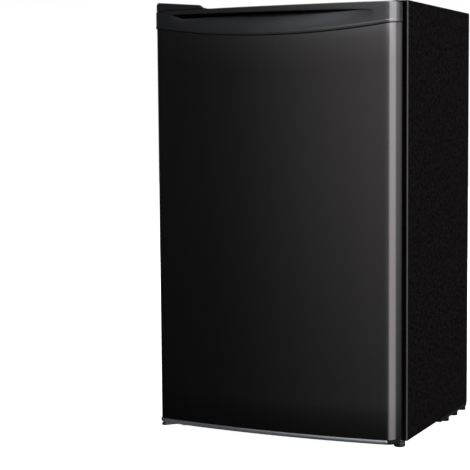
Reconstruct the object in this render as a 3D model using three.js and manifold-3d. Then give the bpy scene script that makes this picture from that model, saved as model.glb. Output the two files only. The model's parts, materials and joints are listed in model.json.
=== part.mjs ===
// A compact refrigerator with one bowed door, hinged on its left, and everything that it holds inside.
// Millimetres. +X to the right of someone facing the door, -Y towards them, +Z up.
// The origin is on the floor, under the middle of the whole appliance.
import * as THREE from "three";
import { mergeVertices } from "three/addons/utils/BufferGeometryUtils.js";
import Module from "manifold-3d";

// ---- Driving dimensions ----
const WIDTH = 495; // cabinet, side to side
const DEPTH = 472; // bow of the door to the back panel
const TOP = 830; // cabinet's top face
const BASE = 14.9; // lower edge of the cabinet's sides
const HALF = WIDTH / 2;
const BACK = DEPTH / 2;
const GAP = 0.3; // between pieces that touch
const STEEL = 1.2; // sheet of the cabinet

// Door
const DOOR_HALF = 245.5;
const DOOR_REAR = -166; // plane of the door's back
const DOOR_APEX = -236 + 2; // foremost point of the skin; the trims stand 2 proud of it
const DOOR_BOW = 18; // how far the front bulges over the door's width
const DOOR_CORNER = 20;
const TRIM_PROUD = 2;
const DOOR_SKIN = 1;
const DOOR_FOOT = 20.5; // lower edge of the bottom trim
const FOOT_TRIM_TOP = 29;
const DOOR_HEAD = 824; // top of the top trim
const SMILE_LOW = 770.6; // lower edge of the top trim, in the middle
const SMILE_RISE = 19.6; // and how much higher its ends are

// Cabinet opening and insulation
const FRONT = -152; // plane of the cabinet's front flange
const FLANGE = 20; // width of the steel flange
const ROOM_HALF = 209.5; // inside of the liner
const ROOM_FLOOR = 53;
const ROOM_TOP = 792;
const ROOM_BACK = 195;
const LINER = 1.8;
const HUMP = { front: 30, top: 230 }; // step in the liner over the compressor
const BAY = { front: 62, frontTop: 72, roof: 196 }; // compressor's bay, open to the rear

// Hinge axis, on the left
const AXIS = { x: -233.5, y: -186 };
const PIN = 4; // radius

// Chiller compartment, hung under the ceiling of the room
const CHILLER = { left: -200, right: 130, front: -14, back: 188, floor: 676, top: 782 };
const FLAP_AXIS = { y: -21, z: 677.5 };

const THERMOSTAT = { x: 178, z: 742, front: -44 };
const SHELVES = { upper: 520, lower: 352 };
const COMPRESSOR = { x: 55, y: 152 };
const FRONT_FOOT = { inset: 20, behind: 15 };

// ---- Solids ----
const wasm = await Module();
wasm.setup();

function solid(geometry) {
  const bare = geometry.clone();
  bare.deleteAttribute("normal");
  bare.deleteAttribute("uv");
  const merged = mergeVertices(bare, 1e-4);
  return new wasm.Manifold(
    new wasm.Mesh({
      numProp: 3,
      vertProperties: merged.attributes.position.array,
      triVerts: new Uint32Array(merged.index.array),
    }),
  );
}

function geometryOf(shape) {
  const mesh = shape.getMesh();
  const geometry = new THREE.BufferGeometry();
  geometry.setAttribute("position", new THREE.BufferAttribute(new Float32Array(mesh.vertProperties), 3));
  geometry.setIndex(new THREE.BufferAttribute(new Uint32Array(mesh.triVerts), 1));
  geometry.computeVertexNormals();
  return geometry;
}

function join(first, ...others) {
  return others.reduce((whole, other) => whole.add(other), first);
}

function cut(first, ...others) {
  return others.reduce((whole, other) => whole.subtract(other), first);
}

function box(x0, x1, y0, y1, z0, z1) {
  const geometry = new THREE.BoxGeometry(x1 - x0, y1 - y0, z1 - z0);
  return solid(geometry.translate((x0 + x1) / 2, (y0 + y1) / 2, (z0 + z1) / 2));
}

// A box about the middle plane x = 0.
function slab(halfWidth, y0, y1, z0, z1) {
  return box(-halfWidth, halfWidth, y0, y1, z0, z1);
}

function rod(length, radius, sides, radiusTop = radius) {
  return new THREE.CylinderGeometry(radiusTop, radius, length, sides);
}

function rodX(x0, x1, y, z, radius, sides = 16) {
  return solid(rod(x1 - x0, radius, sides).rotateZ(-Math.PI / 2).translate((x0 + x1) / 2, y, z));
}

function rodY(x, y0, y1, z, radius, sides = 16) {
  return solid(rod(y1 - y0, radius, sides).translate(x, (y0 + y1) / 2, z));
}

function rodZ(x, y, z0, z1, radius, sides = 16, radiusTop = radius) {
  return solid(rod(z1 - z0, radius, sides, radiusTop).rotateX(Math.PI / 2).translate(x, y, (z0 + z1) / 2));
}

// An outline of [x, y] points becomes a prism along +Z, before it is turned.
function extruded(outline, length) {
  const shape = new THREE.Shape(outline.map(([u, v]) => new THREE.Vector2(u, v)));
  return new THREE.ExtrudeGeometry(shape, { depth: length, bevelEnabled: false });
}

function prismZ(outline, z0, z1) {
  return solid(extruded(outline, z1 - z0).translate(0, 0, z0));
}

// The outline is [x, z].
function prismY(outline, y0, y1) {
  return solid(extruded(outline, y1 - y0).rotateX(Math.PI / 2).translate(0, y1, 0));
}

// The outline is [y, z].
function prismX(outline, x0, x1) {
  const basis = new THREE.Matrix4().makeBasis(
    new THREE.Vector3(0, 1, 0),
    new THREE.Vector3(0, 0, 1),
    new THREE.Vector3(1, 0, 0),
  );
  return solid(extruded(outline, x1 - x0).applyMatrix4(basis).translate(x0, 0, 0));
}

// A profile of [radius, height] points, from the axis at the bottom to the axis at the top.
function turned(profile, x, y, z, sides, stretch = 1) {
  const points = profile.map(([radius, height]) => new THREE.Vector2(radius, height));
  const geometry = new THREE.LatheGeometry(points, sides).rotateX(Math.PI / 2);
  return solid(geometry.scale(stretch, 1, 1).translate(x, y, z));
}

// A round tube through points, bent smoothly.
function tube(points, radius, steps, sides = 8) {
  const curve = new THREE.CatmullRomCurve3(
    points.map((p) => new THREE.Vector3(...p)),
    false,
    "centripetal",
  );
  const ring = Array.from({ length: sides }, (_, i) => {
    const angle = (2 * Math.PI * i) / sides;
    return new THREE.Vector2(radius * Math.cos(angle), radius * Math.sin(angle));
  });
  const options = { steps, extrudePath: curve, bevelEnabled: false };
  return solid(new THREE.ExtrudeGeometry(new THREE.Shape(ring), options));
}

// Points of an arc, both ends included.
function arc(cx, cy, radius, from, to, count) {
  return Array.from({ length: count + 1 }, (_, i) => {
    const angle = THREE.MathUtils.degToRad(from + ((to - from) * i) / count);
    return [cx + radius * Math.cos(angle), cy + radius * Math.sin(angle)];
  });
}

function roundedRect(u0, u1, v0, v1, radius, count = 4) {
  return [
    ...arc(u1 - radius, v1 - radius, radius, 0, 90, count),
    ...arc(u0 + radius, v1 - radius, radius, 90, 180, count),
    ...arc(u0 + radius, v0 + radius, radius, 180, 270, count),
    ...arc(u1 - radius, v0 + radius, radius, 270, 360, count),
  ];
}

// The outline of a sheet of one thickness, laid to the left of an open path.
function sheet(path, thickness) {
  const left = path.map((point, i) => {
    const before = path[Math.max(i - 1, 0)];
    const after = path[Math.min(i + 1, path.length - 1)];
    const a = new THREE.Vector2(point[0] - before[0], point[1] - before[1]).normalize();
    const b = new THREE.Vector2(after[0] - point[0], after[1] - point[1]).normalize();
    const along = a.clone().add(b).normalize();
    const reach = thickness / Math.max(along.dot(i ? a : b), 0.2);
    return [point[0] - along.y * reach, point[1] + along.x * reach];
  });
  return [...path, ...left.reverse()];
}

// ---- Materials ----
function material(color, roughness, metalness) {
  return new THREE.MeshStandardMaterial({ color, roughness, metalness });
}

const blackSteel = material(0x141416, 0.5, 0.3);
const doorSteel = material(0x1c1b1d, 0.38, 0.6);
const blackPlastic = material(0x2a2a2d, 0.5, 0);
const trimMetal = material(0x5a5b60, 0.35, 0.8);
const whitePlastic = material(0xeceeee, 0.4, 0);
const foamYellow = material(0xe3d49a, 0.9, 0);
const zincSteel = material(0x9da1a5, 0.45, 0.9);
const aluminium = material(0xc9ccd0, 0.35, 0.9);
const copper = material(0xb46a3c, 0.35, 0.9);
const rubber = material(0x151515, 0.85, 0);
const glass = material(0xcfe3e0, 0.08, 0);
const clearPlastic = material(0xe2edf2, 0.15, 0);

const fridge = new THREE.Group();
const door = new THREE.Group();
fridge.add(door);

function put(group, name, shape, look) {
  const mesh = new THREE.Mesh(geometryOf(shape), look.clone());
  mesh.name = name;
  group.add(mesh);
}

// ---- Cabinet shell ----
function wrapperPath(inset) {
  const half = HALF - inset;
  const radius = 3;
  return [
    [half, BASE],
    ...arc(half - radius, TOP - inset - radius, radius, 0, 90, 3),
    ...arc(-half + radius, TOP - inset - radius, radius, 90, 180, 3),
    [-half, BASE],
  ];
}

function cabinetWrapper() {
  const outer = prismY(wrapperPath(0), FRONT, BACK);
  const hollow = prismY(wrapperPath(STEEL), FRONT + STEEL, BACK + 1).add(
    slab(HALF - STEEL, FRONT + STEEL, BACK + 1, BASE - 1, BASE + 20),
  );
  const mouth = slab(HALF - FLANGE, FRONT - 1, FRONT + 3, BASE - 1, TOP - FLANGE);
  return cut(outer, hollow, mouth, ...TOP_HOLES.map(([x, y]) => rodZ(x, y, TOP - 5, TOP + 5, 3.3, 12)));
}

// Steel rail across the front, under the opening, which carries the lower hinge and the feet.
const RAIL_TOP = 36;
function frontRail() {
  const path = [
    [-118, BASE + 0.1],
    [FRONT, BASE + 0.1],
    [FRONT, RAIL_TOP],
  ];
  const half = HALF - STEEL - GAP;
  const rail = prismX(sheet(path.reverse(), STEEL), -half, half);
  const corners = [-1, 1].map((side) => {
    const inner = side * (HALF - FLANGE - GAP);
    const outer = side * HALF;
    return box(Math.min(inner, outer), Math.max(inner, outer), FRONT - 1, FRONT + STEEL + GAP, 0, 60);
  });
  const screws = LOWER_SCREWS.map(([x, z]) => rodY(x, FRONT - 2, FRONT + 5, z, 2.6, 12));
  const stemHoles = footPlaces().map(([x, y]) => rodZ(x, y, BASE - 5, BASE + 5, 4.6));
  return cut(rail, ...corners, ...screws, ...stemHoles);
}

function footPlaces() {
  const x = HALF - FRONT_FOOT.inset;
  const y = FRONT + FRONT_FOOT.behind;
  return [
    [-x, y],
    [x, y],
  ];
}

const PANEL_FLOOR = BASE + 2; // top side of the bottom panel
function bottomPanel() {
  const path = [
    [-116, PANEL_FLOOR],
    [BAY.front, PANEL_FLOOR],
    [BAY.frontTop, BAY.roof],
    [BACK - 2, BAY.roof],
  ];
  const half = HALF - STEEL - GAP;
  return prismX(sheet(path, STEEL), -half, half).subtract(drainHole(6.5));
}

const DRAIN = { x: 55, y: 172 };
function drainHole(radius) {
  return rodZ(DRAIN.x, DRAIN.y, BAY.roof - 10, HUMP.top + 10, radius, 12);
}

// ---- Insulation and liner ----
function roomProfile(grow, mouth) {
  return [
    [mouth, ROOM_FLOOR - grow],
    [HUMP.front + grow, ROOM_FLOOR - grow],
    [HUMP.front + grow, HUMP.top - grow],
    [ROOM_BACK + grow, HUMP.top - grow],
    [ROOM_BACK + grow, ROOM_TOP + grow],
    [mouth, ROOM_TOP + grow],
  ];
}

function roomSolid(grow, mouth) {
  const hollow = ROOM_HALF + grow;
  return prismX(roomProfile(grow, mouth), -hollow, hollow);
}

const LINER_LIP = HALF - FLANGE - GAP; // the liner's flange ends inside the steel flange
const LEDGE = 5; // the shelves' ledges stand this far out of the side walls
function innerLiner() {
  const shell = roomSolid(LINER, FRONT);
  const lipOutline = roundedRect(-LINER_LIP, LINER_LIP, RAIL_TOP + GAP, TOP - FLANGE - GAP, 4);
  const lip = prismY(lipOutline, FRONT, FRONT + 2);
  const ribs = [];
  for (const z of [SHELVES.lower, SHELVES.lower + 84, SHELVES.upper, SHELVES.upper + 84]) {
    for (const side of [-1, 1]) {
      const wall = side * (ROOM_HALF + 0.5);
      const inner = side * (ROOM_HALF - LEDGE);
      ribs.push(box(Math.min(wall, inner), Math.max(wall, inner), -70, ROOM_BACK + 0.5, z - 9, z - 1));
    }
  }
  return cut(join(cut(join(shell, lip), roomSolid(0, FRONT - 5)), ...ribs), drainHole(6));
}

function foamBlock() {
  const half = HALF - STEEL - GAP;
  const floor = PANEL_FLOOR + STEEL + GAP;
  const roof = BAY.roof + STEEL + GAP;
  const outside = [
    [FRONT + 3.5, floor],
    [BAY.front - STEEL - 2 * GAP, floor],
    [BAY.frontTop - STEEL - 2 * GAP, roof],
    [BACK - 3, roof],
    [BACK - 3, TOP - STEEL - GAP],
    [FRONT + 3.5, TOP - STEEL - GAP],
  ];
  const block = prismX(outside, -half, half);
  const inside = prismY(wrapperPath(STEEL + GAP), FRONT, BACK);
  const corners = inside.add(slab(half, FRONT, BACK, BASE, BASE + 25));
  const coilBays = [-1, 1].map((side) => {
    const outer = side * HALF;
    const inner = side * (half - COIL - 2 * GAP);
    return box(Math.min(outer, inner), Math.max(outer, inner), -112, 212, 232, 792);
  });
  const railSpace = slab(HALF, FRONT, -112, 0, RAIL_TOP + 2);
  const holes = [
    drainHole(6.5),
    ...footPlaces().map(([x, y]) => rodZ(x, y, 0, 60, 6)),
    ...TOP_HOLES.map(([x, y]) => rodZ(x, y, TOP - 18, TOP, 4, 12)),
  ];
  return cut(block.intersect(corners), roomSolid(LINER + GAP, FRONT), railSpace, ...coilBays, ...holes);
}

// Condenser coil, stuck flat to the inside of each side wall.
const COIL = 4.5;
function condenserCoil(side) {
  const pitch = 52;
  const radius = pitch / 2;
  const path = [];
  for (let run = 0; run < 6; run += 1) {
    const y = -98 + run * pitch;
    const [low, high] = [268, 758];
    path.push(run % 2 ? [y, high] : [y, low], run % 2 ? [y, low] : [y, high]);
    if (run < 5) {
      const [end, turn] = run % 2 ? [low, 360] : [high, 0];
      const bend = arc(y + radius, end, radius, 180, turn, 6);
      path.push(...bend.slice(1, -1));
    }
  }
  const wall = side * (HALF - STEEL - GAP);
  const inner = wall - side * COIL;
  return prismX(sheet(path, COIL), Math.min(wall, inner), Math.max(wall, inner));
}

// ---- Cooling machinery in the rear bay ----
const TRAY_LEVEL = 17.2;
function compressorBase() {
  const path = [
    [68, TRAY_LEVEL + 12],
    [68, TRAY_LEVEL],
    [232, TRAY_LEVEL],
    [232, TRAY_LEVEL + 10],
  ];
  return prismX(sheet(path, 1.6), -(HALF - STEEL - GAP), HALF - STEEL - GAP);
}

const GROMMET = { height: 12, reachX: 82, reachY: 44 };
const GROMMET_FOOT = TRAY_LEVEL + 1.6 + GAP;
function grommetPlaces() {
  return [-1, 1].flatMap((sx) =>
    [-1, 1].map((sy) => [COMPRESSOR.x + sx * GROMMET.reachX, COMPRESSOR.y + sy * GROMMET.reachY]),
  );
}

function grommet(x, y) {
  const profile = [
    [0, 0],
    [11, 0],
    [11, 5],
    [8, 7],
    [10, 9],
    [10, GROMMET.height],
    [0, GROMMET.height],
  ];
  return turned(profile, x, y, GROMMET_FOOT, 16);
}

const FEET_LEVEL = GROMMET_FOOT + GROMMET.height + GAP;
function compressorFeet() {
  const { x, y } = COMPRESSOR;
  const bars = [-1, 1].map((side) => {
    const at = y + side * GROMMET.reachY;
    return prismZ(roundedRect(x - 96, x + 96, at - 14, at + 14, 10), FEET_LEVEL, FEET_LEVEL + 2.5);
  });
  return join(box(x - 55, x + 55, y - 40, y + 40, FEET_LEVEL, FEET_LEVEL + 2.5), ...bars);
}

const SHELL_FOOT = FEET_LEVEL + 2.5 + GAP;
const SHELL_HEIGHT = 118;
function compressorShell() {
  const radius = 58;
  const profile = [
    [0, 0],
    [34, 0],
    [50, 8],
    [radius, 26],
    [radius, 66],
    [radius + 3, 67],
    [radius + 3, 71],
    [radius, 72],
    [radius, 88],
    [50, 106],
    [30, SHELL_HEIGHT - 3],
    [0, SHELL_HEIGHT],
  ];
  return turned(profile, COMPRESSOR.x, COMPRESSOR.y, SHELL_FOOT, 28, 1.22);
}

function relayCover() {
  const x = COMPRESSOR.x + 76;
  const outline = roundedRect(COMPRESSOR.y - 22, COMPRESSOR.y + 22, 62, 112, 6);
  return prismX(outline, x, x + 34);
}

const PAN_FLOOR = SHELL_FOOT + SHELL_HEIGHT + 1;
function drainPan() {
  const { x, y } = COMPRESSOR;
  const outer = prismZ(roundedRect(x - 66, x + 66, y - 50, y + 50, 12), PAN_FLOOR, PAN_FLOOR + 26);
  const inner = roundedRect(x - 64, x + 64, y - 48, y + 48, 10);
  return outer.subtract(prismZ(inner, PAN_FLOOR + 2, PAN_FLOOR + 30));
}

function drainTube() {
  return rodZ(DRAIN.x, DRAIN.y, PAN_FLOOR + 12, HUMP.top - 0.4, 5, 12).subtract(
    rodZ(DRAIN.x, DRAIN.y, PAN_FLOOR, HUMP.top + 5, 3.4, 12),
  );
}

function dischargeTube() {
  return tube(
    [
      [COMPRESSOR.x - 72, COMPRESSOR.y - 12, 92],
      [COMPRESSOR.x - 92, COMPRESSOR.y - 12, 92],
      [COMPRESSOR.x - 112, COMPRESSOR.y - 12, 104],
      [COMPRESSOR.x - 118, COMPRESSOR.y - 12, 140],
      [COMPRESSOR.x - 118, COMPRESSOR.y - 12, BAY.roof - 1],
    ],
    2.5,
    18,
  );
}

function suctionTube() {
  return tube(
    [
      [COMPRESSOR.x - 72, COMPRESSOR.y + 14, 76],
      [COMPRESSOR.x - 96, COMPRESSOR.y + 14, 76],
      [COMPRESSOR.x - 128, COMPRESSOR.y + 20, 84],
      [COMPRESSOR.x - 142, COMPRESSOR.y + 24, 130],
      [COMPRESSOR.x - 142, COMPRESSOR.y + 24, BAY.roof - 1],
    ],
    3.5,
    18,
  );
}

function filterDrier() {
  const profile = [
    [0, 0],
    [2.5, 0],
    [2.5, 12],
    [8, 20],
    [8, 92],
    [2, 102],
    [2, 121],
    [0, 121],
  ];
  return turned(profile, COMPRESSOR.x - 168, COMPRESSOR.y + 6, 74, 16);
}

function cordGland() {
  const profile = [
    [0, 0],
    [9, 0],
    [9, 3],
    [6.5, 4],
    [5.2, 18],
    [0, 18],
  ];
  const points = profile.map(([radius, height]) => new THREE.Vector2(radius, height));
  return solid(new THREE.LatheGeometry(points, 16).translate(-214, BACK - 19, 60));
}

function glandPlate() {
  return box(-HALF + STEEL + GAP, -194, BACK - 22, BACK - 19.4, GROMMET_FOOT, 88);
}

// ---- Supports ----
const SKID = { front: 55, wide: 17.5, level: 8, padDepths: [262, 321, 379] };
function skid(side) {
  const outer = side * (HALF - 0.5);
  const inner = outer - side * SKID.wide;
  const [low, high] = [Math.min(outer, inner), Math.max(outer, inner)];
  const rail = box(low, high, SKID.front, BACK - 1, SKID.level, BASE - GAP);
  const pads = SKID.padDepths.map((depth) => {
    const radius = 8.5;
    return rodZ(outer - side * (radius + 0.1), FRONT + depth, 0, SKID.level + 1, radius, 16);
  });
  return join(rail, ...pads);
}

// Front levelling feet: a swivel pad under a screw with a hexagon for the spanner.
const PAD_TOP = 10.6;
function footPad(x, y) {
  const profile = [
    [0, 0],
    [8.4, 0],
    [10.2, 1],
    [10.8, 3],
    [10.8, PAD_TOP - 1],
    [9.8, PAD_TOP],
    [0, PAD_TOP],
  ];
  return turned(profile, x, y, 0, 20);
}

function footStem(x, y) {
  return join(rodZ(x, y, PAD_TOP + GAP, BASE - GAP, 8.5, 6), rodZ(x, y, BASE - 1, 44, 4, 12));
}

// ---- Hinges ----
const PLATE_TOP = TOP + GAP + 3;
function topHingePlate() {
  const outline = [
    ...arc(AXIS.x + 1, AXIS.y, 10, 180, 360, 8),
    [AXIS.x + 53, FRONT + 4],
    [AXIS.x + 53, FRONT + 36],
    [AXIS.x - 9, FRONT + 36],
  ];
  const plate = prismZ(outline, TOP + GAP, PLATE_TOP);
  const pin = rodZ(AXIS.x, AXIS.y, DOOR_HEAD - 14, PLATE_TOP, PIN, 16);
  const holes = TOP_SCREWS.map(([x, y]) => rodZ(x, y, TOP, PLATE_TOP + 1, 2.9, 12));
  return cut(plate, ...holes).add(pin);
}

const TOP_SCREWS = [
  [AXIS.x + 14, FRONT + 22],
  [AXIS.x + 44, FRONT + 22],
];
const PLUG = [-AXIS.x - 14, FRONT + 22]; // closes the hole for a hinge on the right
const TOP_HOLES = [...TOP_SCREWS, PLUG];
const LOWER_SCREWS = [
  [AXIS.x + 22, 22],
  [AXIS.x + 42, 22],
];

function hingeScrewTop(x, y) {
  const head = PLATE_TOP + GAP;
  return join(rodZ(x, y, TOP - 14, head + 1, 2.4, 10), rodZ(x, y, head, head + 2, 5, 12));
}

function hingeScrewLower(x, z) {
  const face = FRONT - GAP - 2.5 - GAP;
  return join(rodY(x, face - 0.5, FRONT + 14, z, 2.2, 10), rodY(x, face - 2.6, face, z, 4.6, 12));
}

const BRACKET = { top: 15.6, bottom: 10.6 };
function lowerHingeBracket() {
  const outline = [
    ...arc(AXIS.x + 0.5, AXIS.y, 12, 180, 360, 8),
    [AXIS.x + 54, FRONT - GAP],
    [AXIS.x - 11.5, FRONT - GAP],
  ];
  const shelf = prismZ(outline, BRACKET.bottom, BRACKET.top - 1.5);
  const tab = box(AXIS.x - 11.5, AXIS.x + 54, FRONT - GAP - 2.5, FRONT - GAP, BRACKET.bottom, 30);
  const pin = rodZ(AXIS.x, AXIS.y, BRACKET.bottom, DOOR_FOOT + 8, PIN, 16);
  const holes = LOWER_SCREWS.map(([x, z]) => rodY(x, FRONT - 6, FRONT + 2, z, 2.6, 12));
  return join(cut(join(shelf, tab), ...holes), pin);
}

// Over the door it is a strip with a falling top; over the cabinet it is a box that hides the plate.
const COVER = { left: -246, right: -131, top: 841, rightTop: 831.5, joint: -176 };
const COVER_BOX = { right: -177, back: -108, top: 838 };
function topHingeCover() {
  const base = DOOR_HEAD + 1;
  const strip = [
    [COVER.left, base],
    [COVER.right, base],
    [COVER.right, base + 1.5],
    [COVER.right - 7, COVER.rightTop],
    [COVER.left + 4, COVER.top],
    [COVER.left, COVER.top - 3],
  ];
  const hood = [
    [COVER.left, base],
    [COVER_BOX.right, base],
    [COVER_BOX.right, COVER_BOX.top - 4],
    [COVER_BOX.right - 6, COVER_BOX.top],
    [COVER.left + 3, COVER_BOX.top],
    [COVER.left, COVER_BOX.top - 3],
  ];
  const plan = prismZ(doorOutline(TRIM_PROUD - 1.5, COVER_BOX.back), DOOR_HEAD, COVER.top);
  const rough = join(prismY(strip, -240, COVER.joint), prismY(hood, COVER.joint - 1, COVER_BOX.back));
  const block = rough.intersect(plan);
  const onCabinet = slab(HALF, FRONT - 12, COVER_BOX.back + 1, 0, TOP + GAP);
  const [x0, x1, y1] = [COVER.left + 2, COVER_BOX.right - 2, COVER_BOX.back - 2];
  const frontRoom = box(x0, -210, -200, COVER.joint + 2, 0, TOP + 6);
  const rearRoom = box(x0, x1, COVER.joint + 1, y1, 0, TOP + 6.2);
  return cut(block, onCabinet, frontRoom, rearRoom);
}

function hingeHolePlug(x, y) {
  return join(rodZ(x, y, TOP + GAP, TOP + 2.2, 6, 16, 5), rodZ(x, y, TOP - 8, TOP + 1, 3, 10));
}

// ---- Door ----
// The outline in plan, grown outwards by a distance, back edge first.
function doorOutline(grow, rear) {
  const bowRadius = (DOOR_HALF ** 2 + DOOR_BOW ** 2) / (2 * DOOR_BOW);
  const bowCentre = DOOR_APEX + bowRadius;
  const cornerX = DOOR_HALF - DOOR_CORNER;
  const cornerY = bowCentre - Math.sqrt((bowRadius - DOOR_CORNER) ** 2 - cornerX ** 2);
  const spread = THREE.MathUtils.radToDeg(Math.atan2(cornerX, bowCentre - cornerY));
  const corner = DOOR_CORNER + grow;
  return [
    [DOOR_HALF + grow, rear],
    [-DOOR_HALF - grow, rear],
    ...arc(-cornerX, cornerY, corner, 180, 270 - spread, 6),
    ...arc(0, bowCentre, bowRadius + grow, 270 - spread, 270 + spread, 20).slice(1, -1),
    ...arc(cornerX, cornerY, corner, 270 + spread, 360, 6),
  ];
}

// Where the front surface is at x, grown outwards by a distance.
function frontAt(x, grow) {
  const bowRadius = (DOOR_HALF ** 2 + DOOR_BOW ** 2) / (2 * DOOR_BOW);
  return DOOR_APEX + bowRadius - Math.sqrt((bowRadius + grow) ** 2 - x * x);
}

// Everything under the curved lower edge of the top trim, lowered by a distance.
function underSmile(drop) {
  const edge = [];
  for (let x = -252; x <= 252; x += 21) {
    edge.push([x, SMILE_LOW + SMILE_RISE * (x / 246) ** 2 - drop]);
  }
  return prismY([[252, 0], ...edge.reverse(), [-252, 0]].reverse(), -260, -140);
}

function doorSkin() {
  const low = FOOT_TRIM_TOP + GAP;
  const outer = prismZ(doorOutline(0, DOOR_REAR), low, SMILE_LOW + SMILE_RISE + 5);
  const inner = prismZ(doorOutline(-DOOR_SKIN, DOOR_REAR + 1), low - 1, 900);
  return outer.subtract(inner).intersect(underSmile(0.4));
}

// Hollow for the fingers: a scoop that leans back and up into a slot under the lip.
const POCKET = { half: 214, slotTop: 813, depth: 30, foldAbove: 5.5 };
function pocketSection(x) {
  const t = Math.min(1, (1 - Math.abs(x) / POCKET.half) * 6);
  const depth = 1 + (POCKET.depth - 1) * Math.sqrt(t * (2 - t));
  const face = frontAt(x, TRIM_PROUD);
  const fold = SMILE_LOW + SMILE_RISE * (x / 246) ** 2 + POCKET.foldAbove;
  const slotLow = POCKET.slotTop - 9;
  const rise = slotLow - fold;
  return [
    [face - 6, fold],
    [face + 0.4, fold],
    [face + 0.3 * depth, fold + 0.3 * rise],
    [face + 0.52 * depth, fold + 0.72 * rise],
    [face + 0.6 * depth, slotLow],
    [face + depth, slotLow - 4 * t],
    [face + depth, POCKET.slotTop + 5 * t],
    [face + 0.14 * depth, POCKET.slotTop + 5 * t],
    [face + 0.12 * depth, POCKET.slotTop],
    [face - 6, POCKET.slotTop],
  ];
}

// A closed solid lofted through sections of [y, z] points at growing x.
function loft(stations, section) {
  const rings = stations.map((x) => section(x).map(([y, z]) => [x, y, z]));
  const count = rings[0].length;
  const position = rings.flat(2);
  const index = [];
  for (let i = 0; i + 1 < rings.length; i += 1) {
    for (let j = 0; j < count; j += 1) {
      const [a, b] = [i * count + j, i * count + ((j + 1) % count)];
      index.push(a, b, b + count, a, b + count, a + count);
    }
  }
  const flat = section(stations[0]).map(([y, z]) => new THREE.Vector2(y, z));
  const caps = THREE.ShapeUtils.triangulateShape(flat, []);
  const last = (rings.length - 1) * count;
  for (const [a, b, c] of caps) {
    index.push(a, c, b, last + a, last + b, last + c);
  }
  const geometry = new THREE.BufferGeometry();
  geometry.setAttribute("position", new THREE.Float32BufferAttribute(position, 3));
  geometry.setIndex(index);
  return solid(geometry);
}

function pocketSolid() {
  const steps = 24;
  const stations = Array.from({ length: steps + 1 }, (_, i) => {
    const u = -1 + (2 * i) / steps;
    return POCKET.half * Math.sin((u * Math.PI) / 2) * 0.996;
  });
  return loft(stations, pocketSection);
}

function doorTopCap() {
  const whole = prismZ(doorOutline(TRIM_PROUD, DOOR_REAR), SMILE_LOW - 5, DOOR_HEAD);
  const linerRecess = slab(DOOR_HALF - DOOR_SKIN, DOOR_REAR - 2.9, 0, 0, LINER_HEAD + GAP);
  const inside = slab(196, DOOR_REAR - 21, DOOR_REAR - 5.5, 0, DOOR_HEAD - 4);
  const bush = rodZ(AXIS.x, AXIS.y, DOOR_HEAD - 14.3, DOOR_HEAD + 1, 7, 16);
  return cut(whole, underSmile(0), pocketSolid(), linerRecess, inside, bush);
}

function doorBottomCap() {
  const tray = prismZ(doorOutline(TRIM_PROUD, DOOR_REAR), DOOR_FOOT, FOOT_TRIM_TOP);
  const hollow = prismZ(doorOutline(-3, DOOR_REAR - 3), DOOR_FOOT + 3, FOOT_TRIM_TOP + 1);
  const boss = rodZ(AXIS.x, AXIS.y, DOOR_FOOT + 1, FOOT_TRIM_TOP - 0.5, 11, 16);
  const bush = rodZ(AXIS.x, AXIS.y, DOOR_FOOT - 1, FOOT_TRIM_TOP + 1, 7, 16);
  return join(tray.subtract(hollow), boss).subtract(bush);
}

function bushing(z0, z1) {
  const bore = rodZ(AXIS.x, AXIS.y, z0 - 1, z1 + 1, PIN + 0.35, 16);
  return rodZ(AXIS.x, AXIS.y, z0, z1, 6.7, 16).subtract(bore);
}

const LINER_FOOT = FOOT_TRIM_TOP + 1;
const LINER_HEAD = 815;
const DYKE = { half: 204, inner: 188, low: 58, high: 787, face: -126 };
function dyke(shrink, rear) {
  const half = DYKE.half - shrink;
  const inside = DYKE.inner + shrink;
  const wide = DYKE.half - DYKE.inner;
  const outer = roundedRect(-half, half, DYKE.low + shrink, DYKE.high - shrink, 14);
  const inner = roundedRect(-inside, inside, DYKE.low + wide - shrink, DYKE.high - wide + shrink, 6);
  return prismY(outer, rear, DYKE.face - shrink).subtract(prismY(inner, rear - 1, DYKE.face + 1));
}

function doorLiner() {
  const half = DOOR_HALF - DOOR_SKIN - GAP;
  const outline = roundedRect(-half, half, LINER_FOOT, LINER_HEAD, 6);
  const plate = prismY(outline, DOOR_REAR - 2.5, DOOR_REAR - 0.5);
  return join(plate, dyke(0, DOOR_REAR - 2.5)).subtract(dyke(2, DOOR_REAR - 4));
}

function doorFoam() {
  const slabFoam = prismZ(doorOutline(-DOOR_SKIN - GAP, DOOR_REAR - 2.8), FOOT_TRIM_TOP + 1, SMILE_LOW - 1);
  return join(slabFoam, dyke(2.3, DOOR_REAR - 2.8));
}

const SEAL = { half: 236, low: 33, high: 812 };
function sealRing(inset, width, y0, y1) {
  const [half, low, high] = [SEAL.half - inset, SEAL.low + inset, SEAL.high - inset];
  const outer = prismY(roundedRect(-half, half, low, high, 5), y0, y1);
  return outer.subtract(slab(half - width, y0 - 1, y1 + 1, low + width, high - width));
}

function doorGasket() {
  const base = sealRing(0, 17, DOOR_REAR - 0.5 + GAP, DOOR_REAR + 5);
  return join(base, sealRing(2, 5, DOOR_REAR + 4, FRONT - 0.5), sealRing(2, 13, FRONT - 4.5, FRONT - 0.5));
}

// Bins hang between the dykes on the inside of the door.
function doorBin(floor, height, wall) {
  const half = DYKE.inner - 0.8;
  const back = DOOR_REAR - 0.5 + 0.6;
  const front = -58;
  const outer = prismX(
    [
      [back, floor],
      [front - 8, floor],
      [front, floor + 8],
      [front, floor + height],
      [back, floor + height],
    ],
    -half,
    half,
  );
  const inner = slab(half - 2.5, back + 2.5, front - 2.5, floor + 8, floor + height + 1);
  const lowFront = slab(half - 14, front - 6, front + 1, floor + wall, floor + height + 1);
  return cut(outer, inner, lowFront);
}

function binRail(z) {
  const half = DYKE.inner - 0.8 - 2.5 - GAP;
  return rodX(-half, half, -64, z, 2.6, 10);
}

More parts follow.
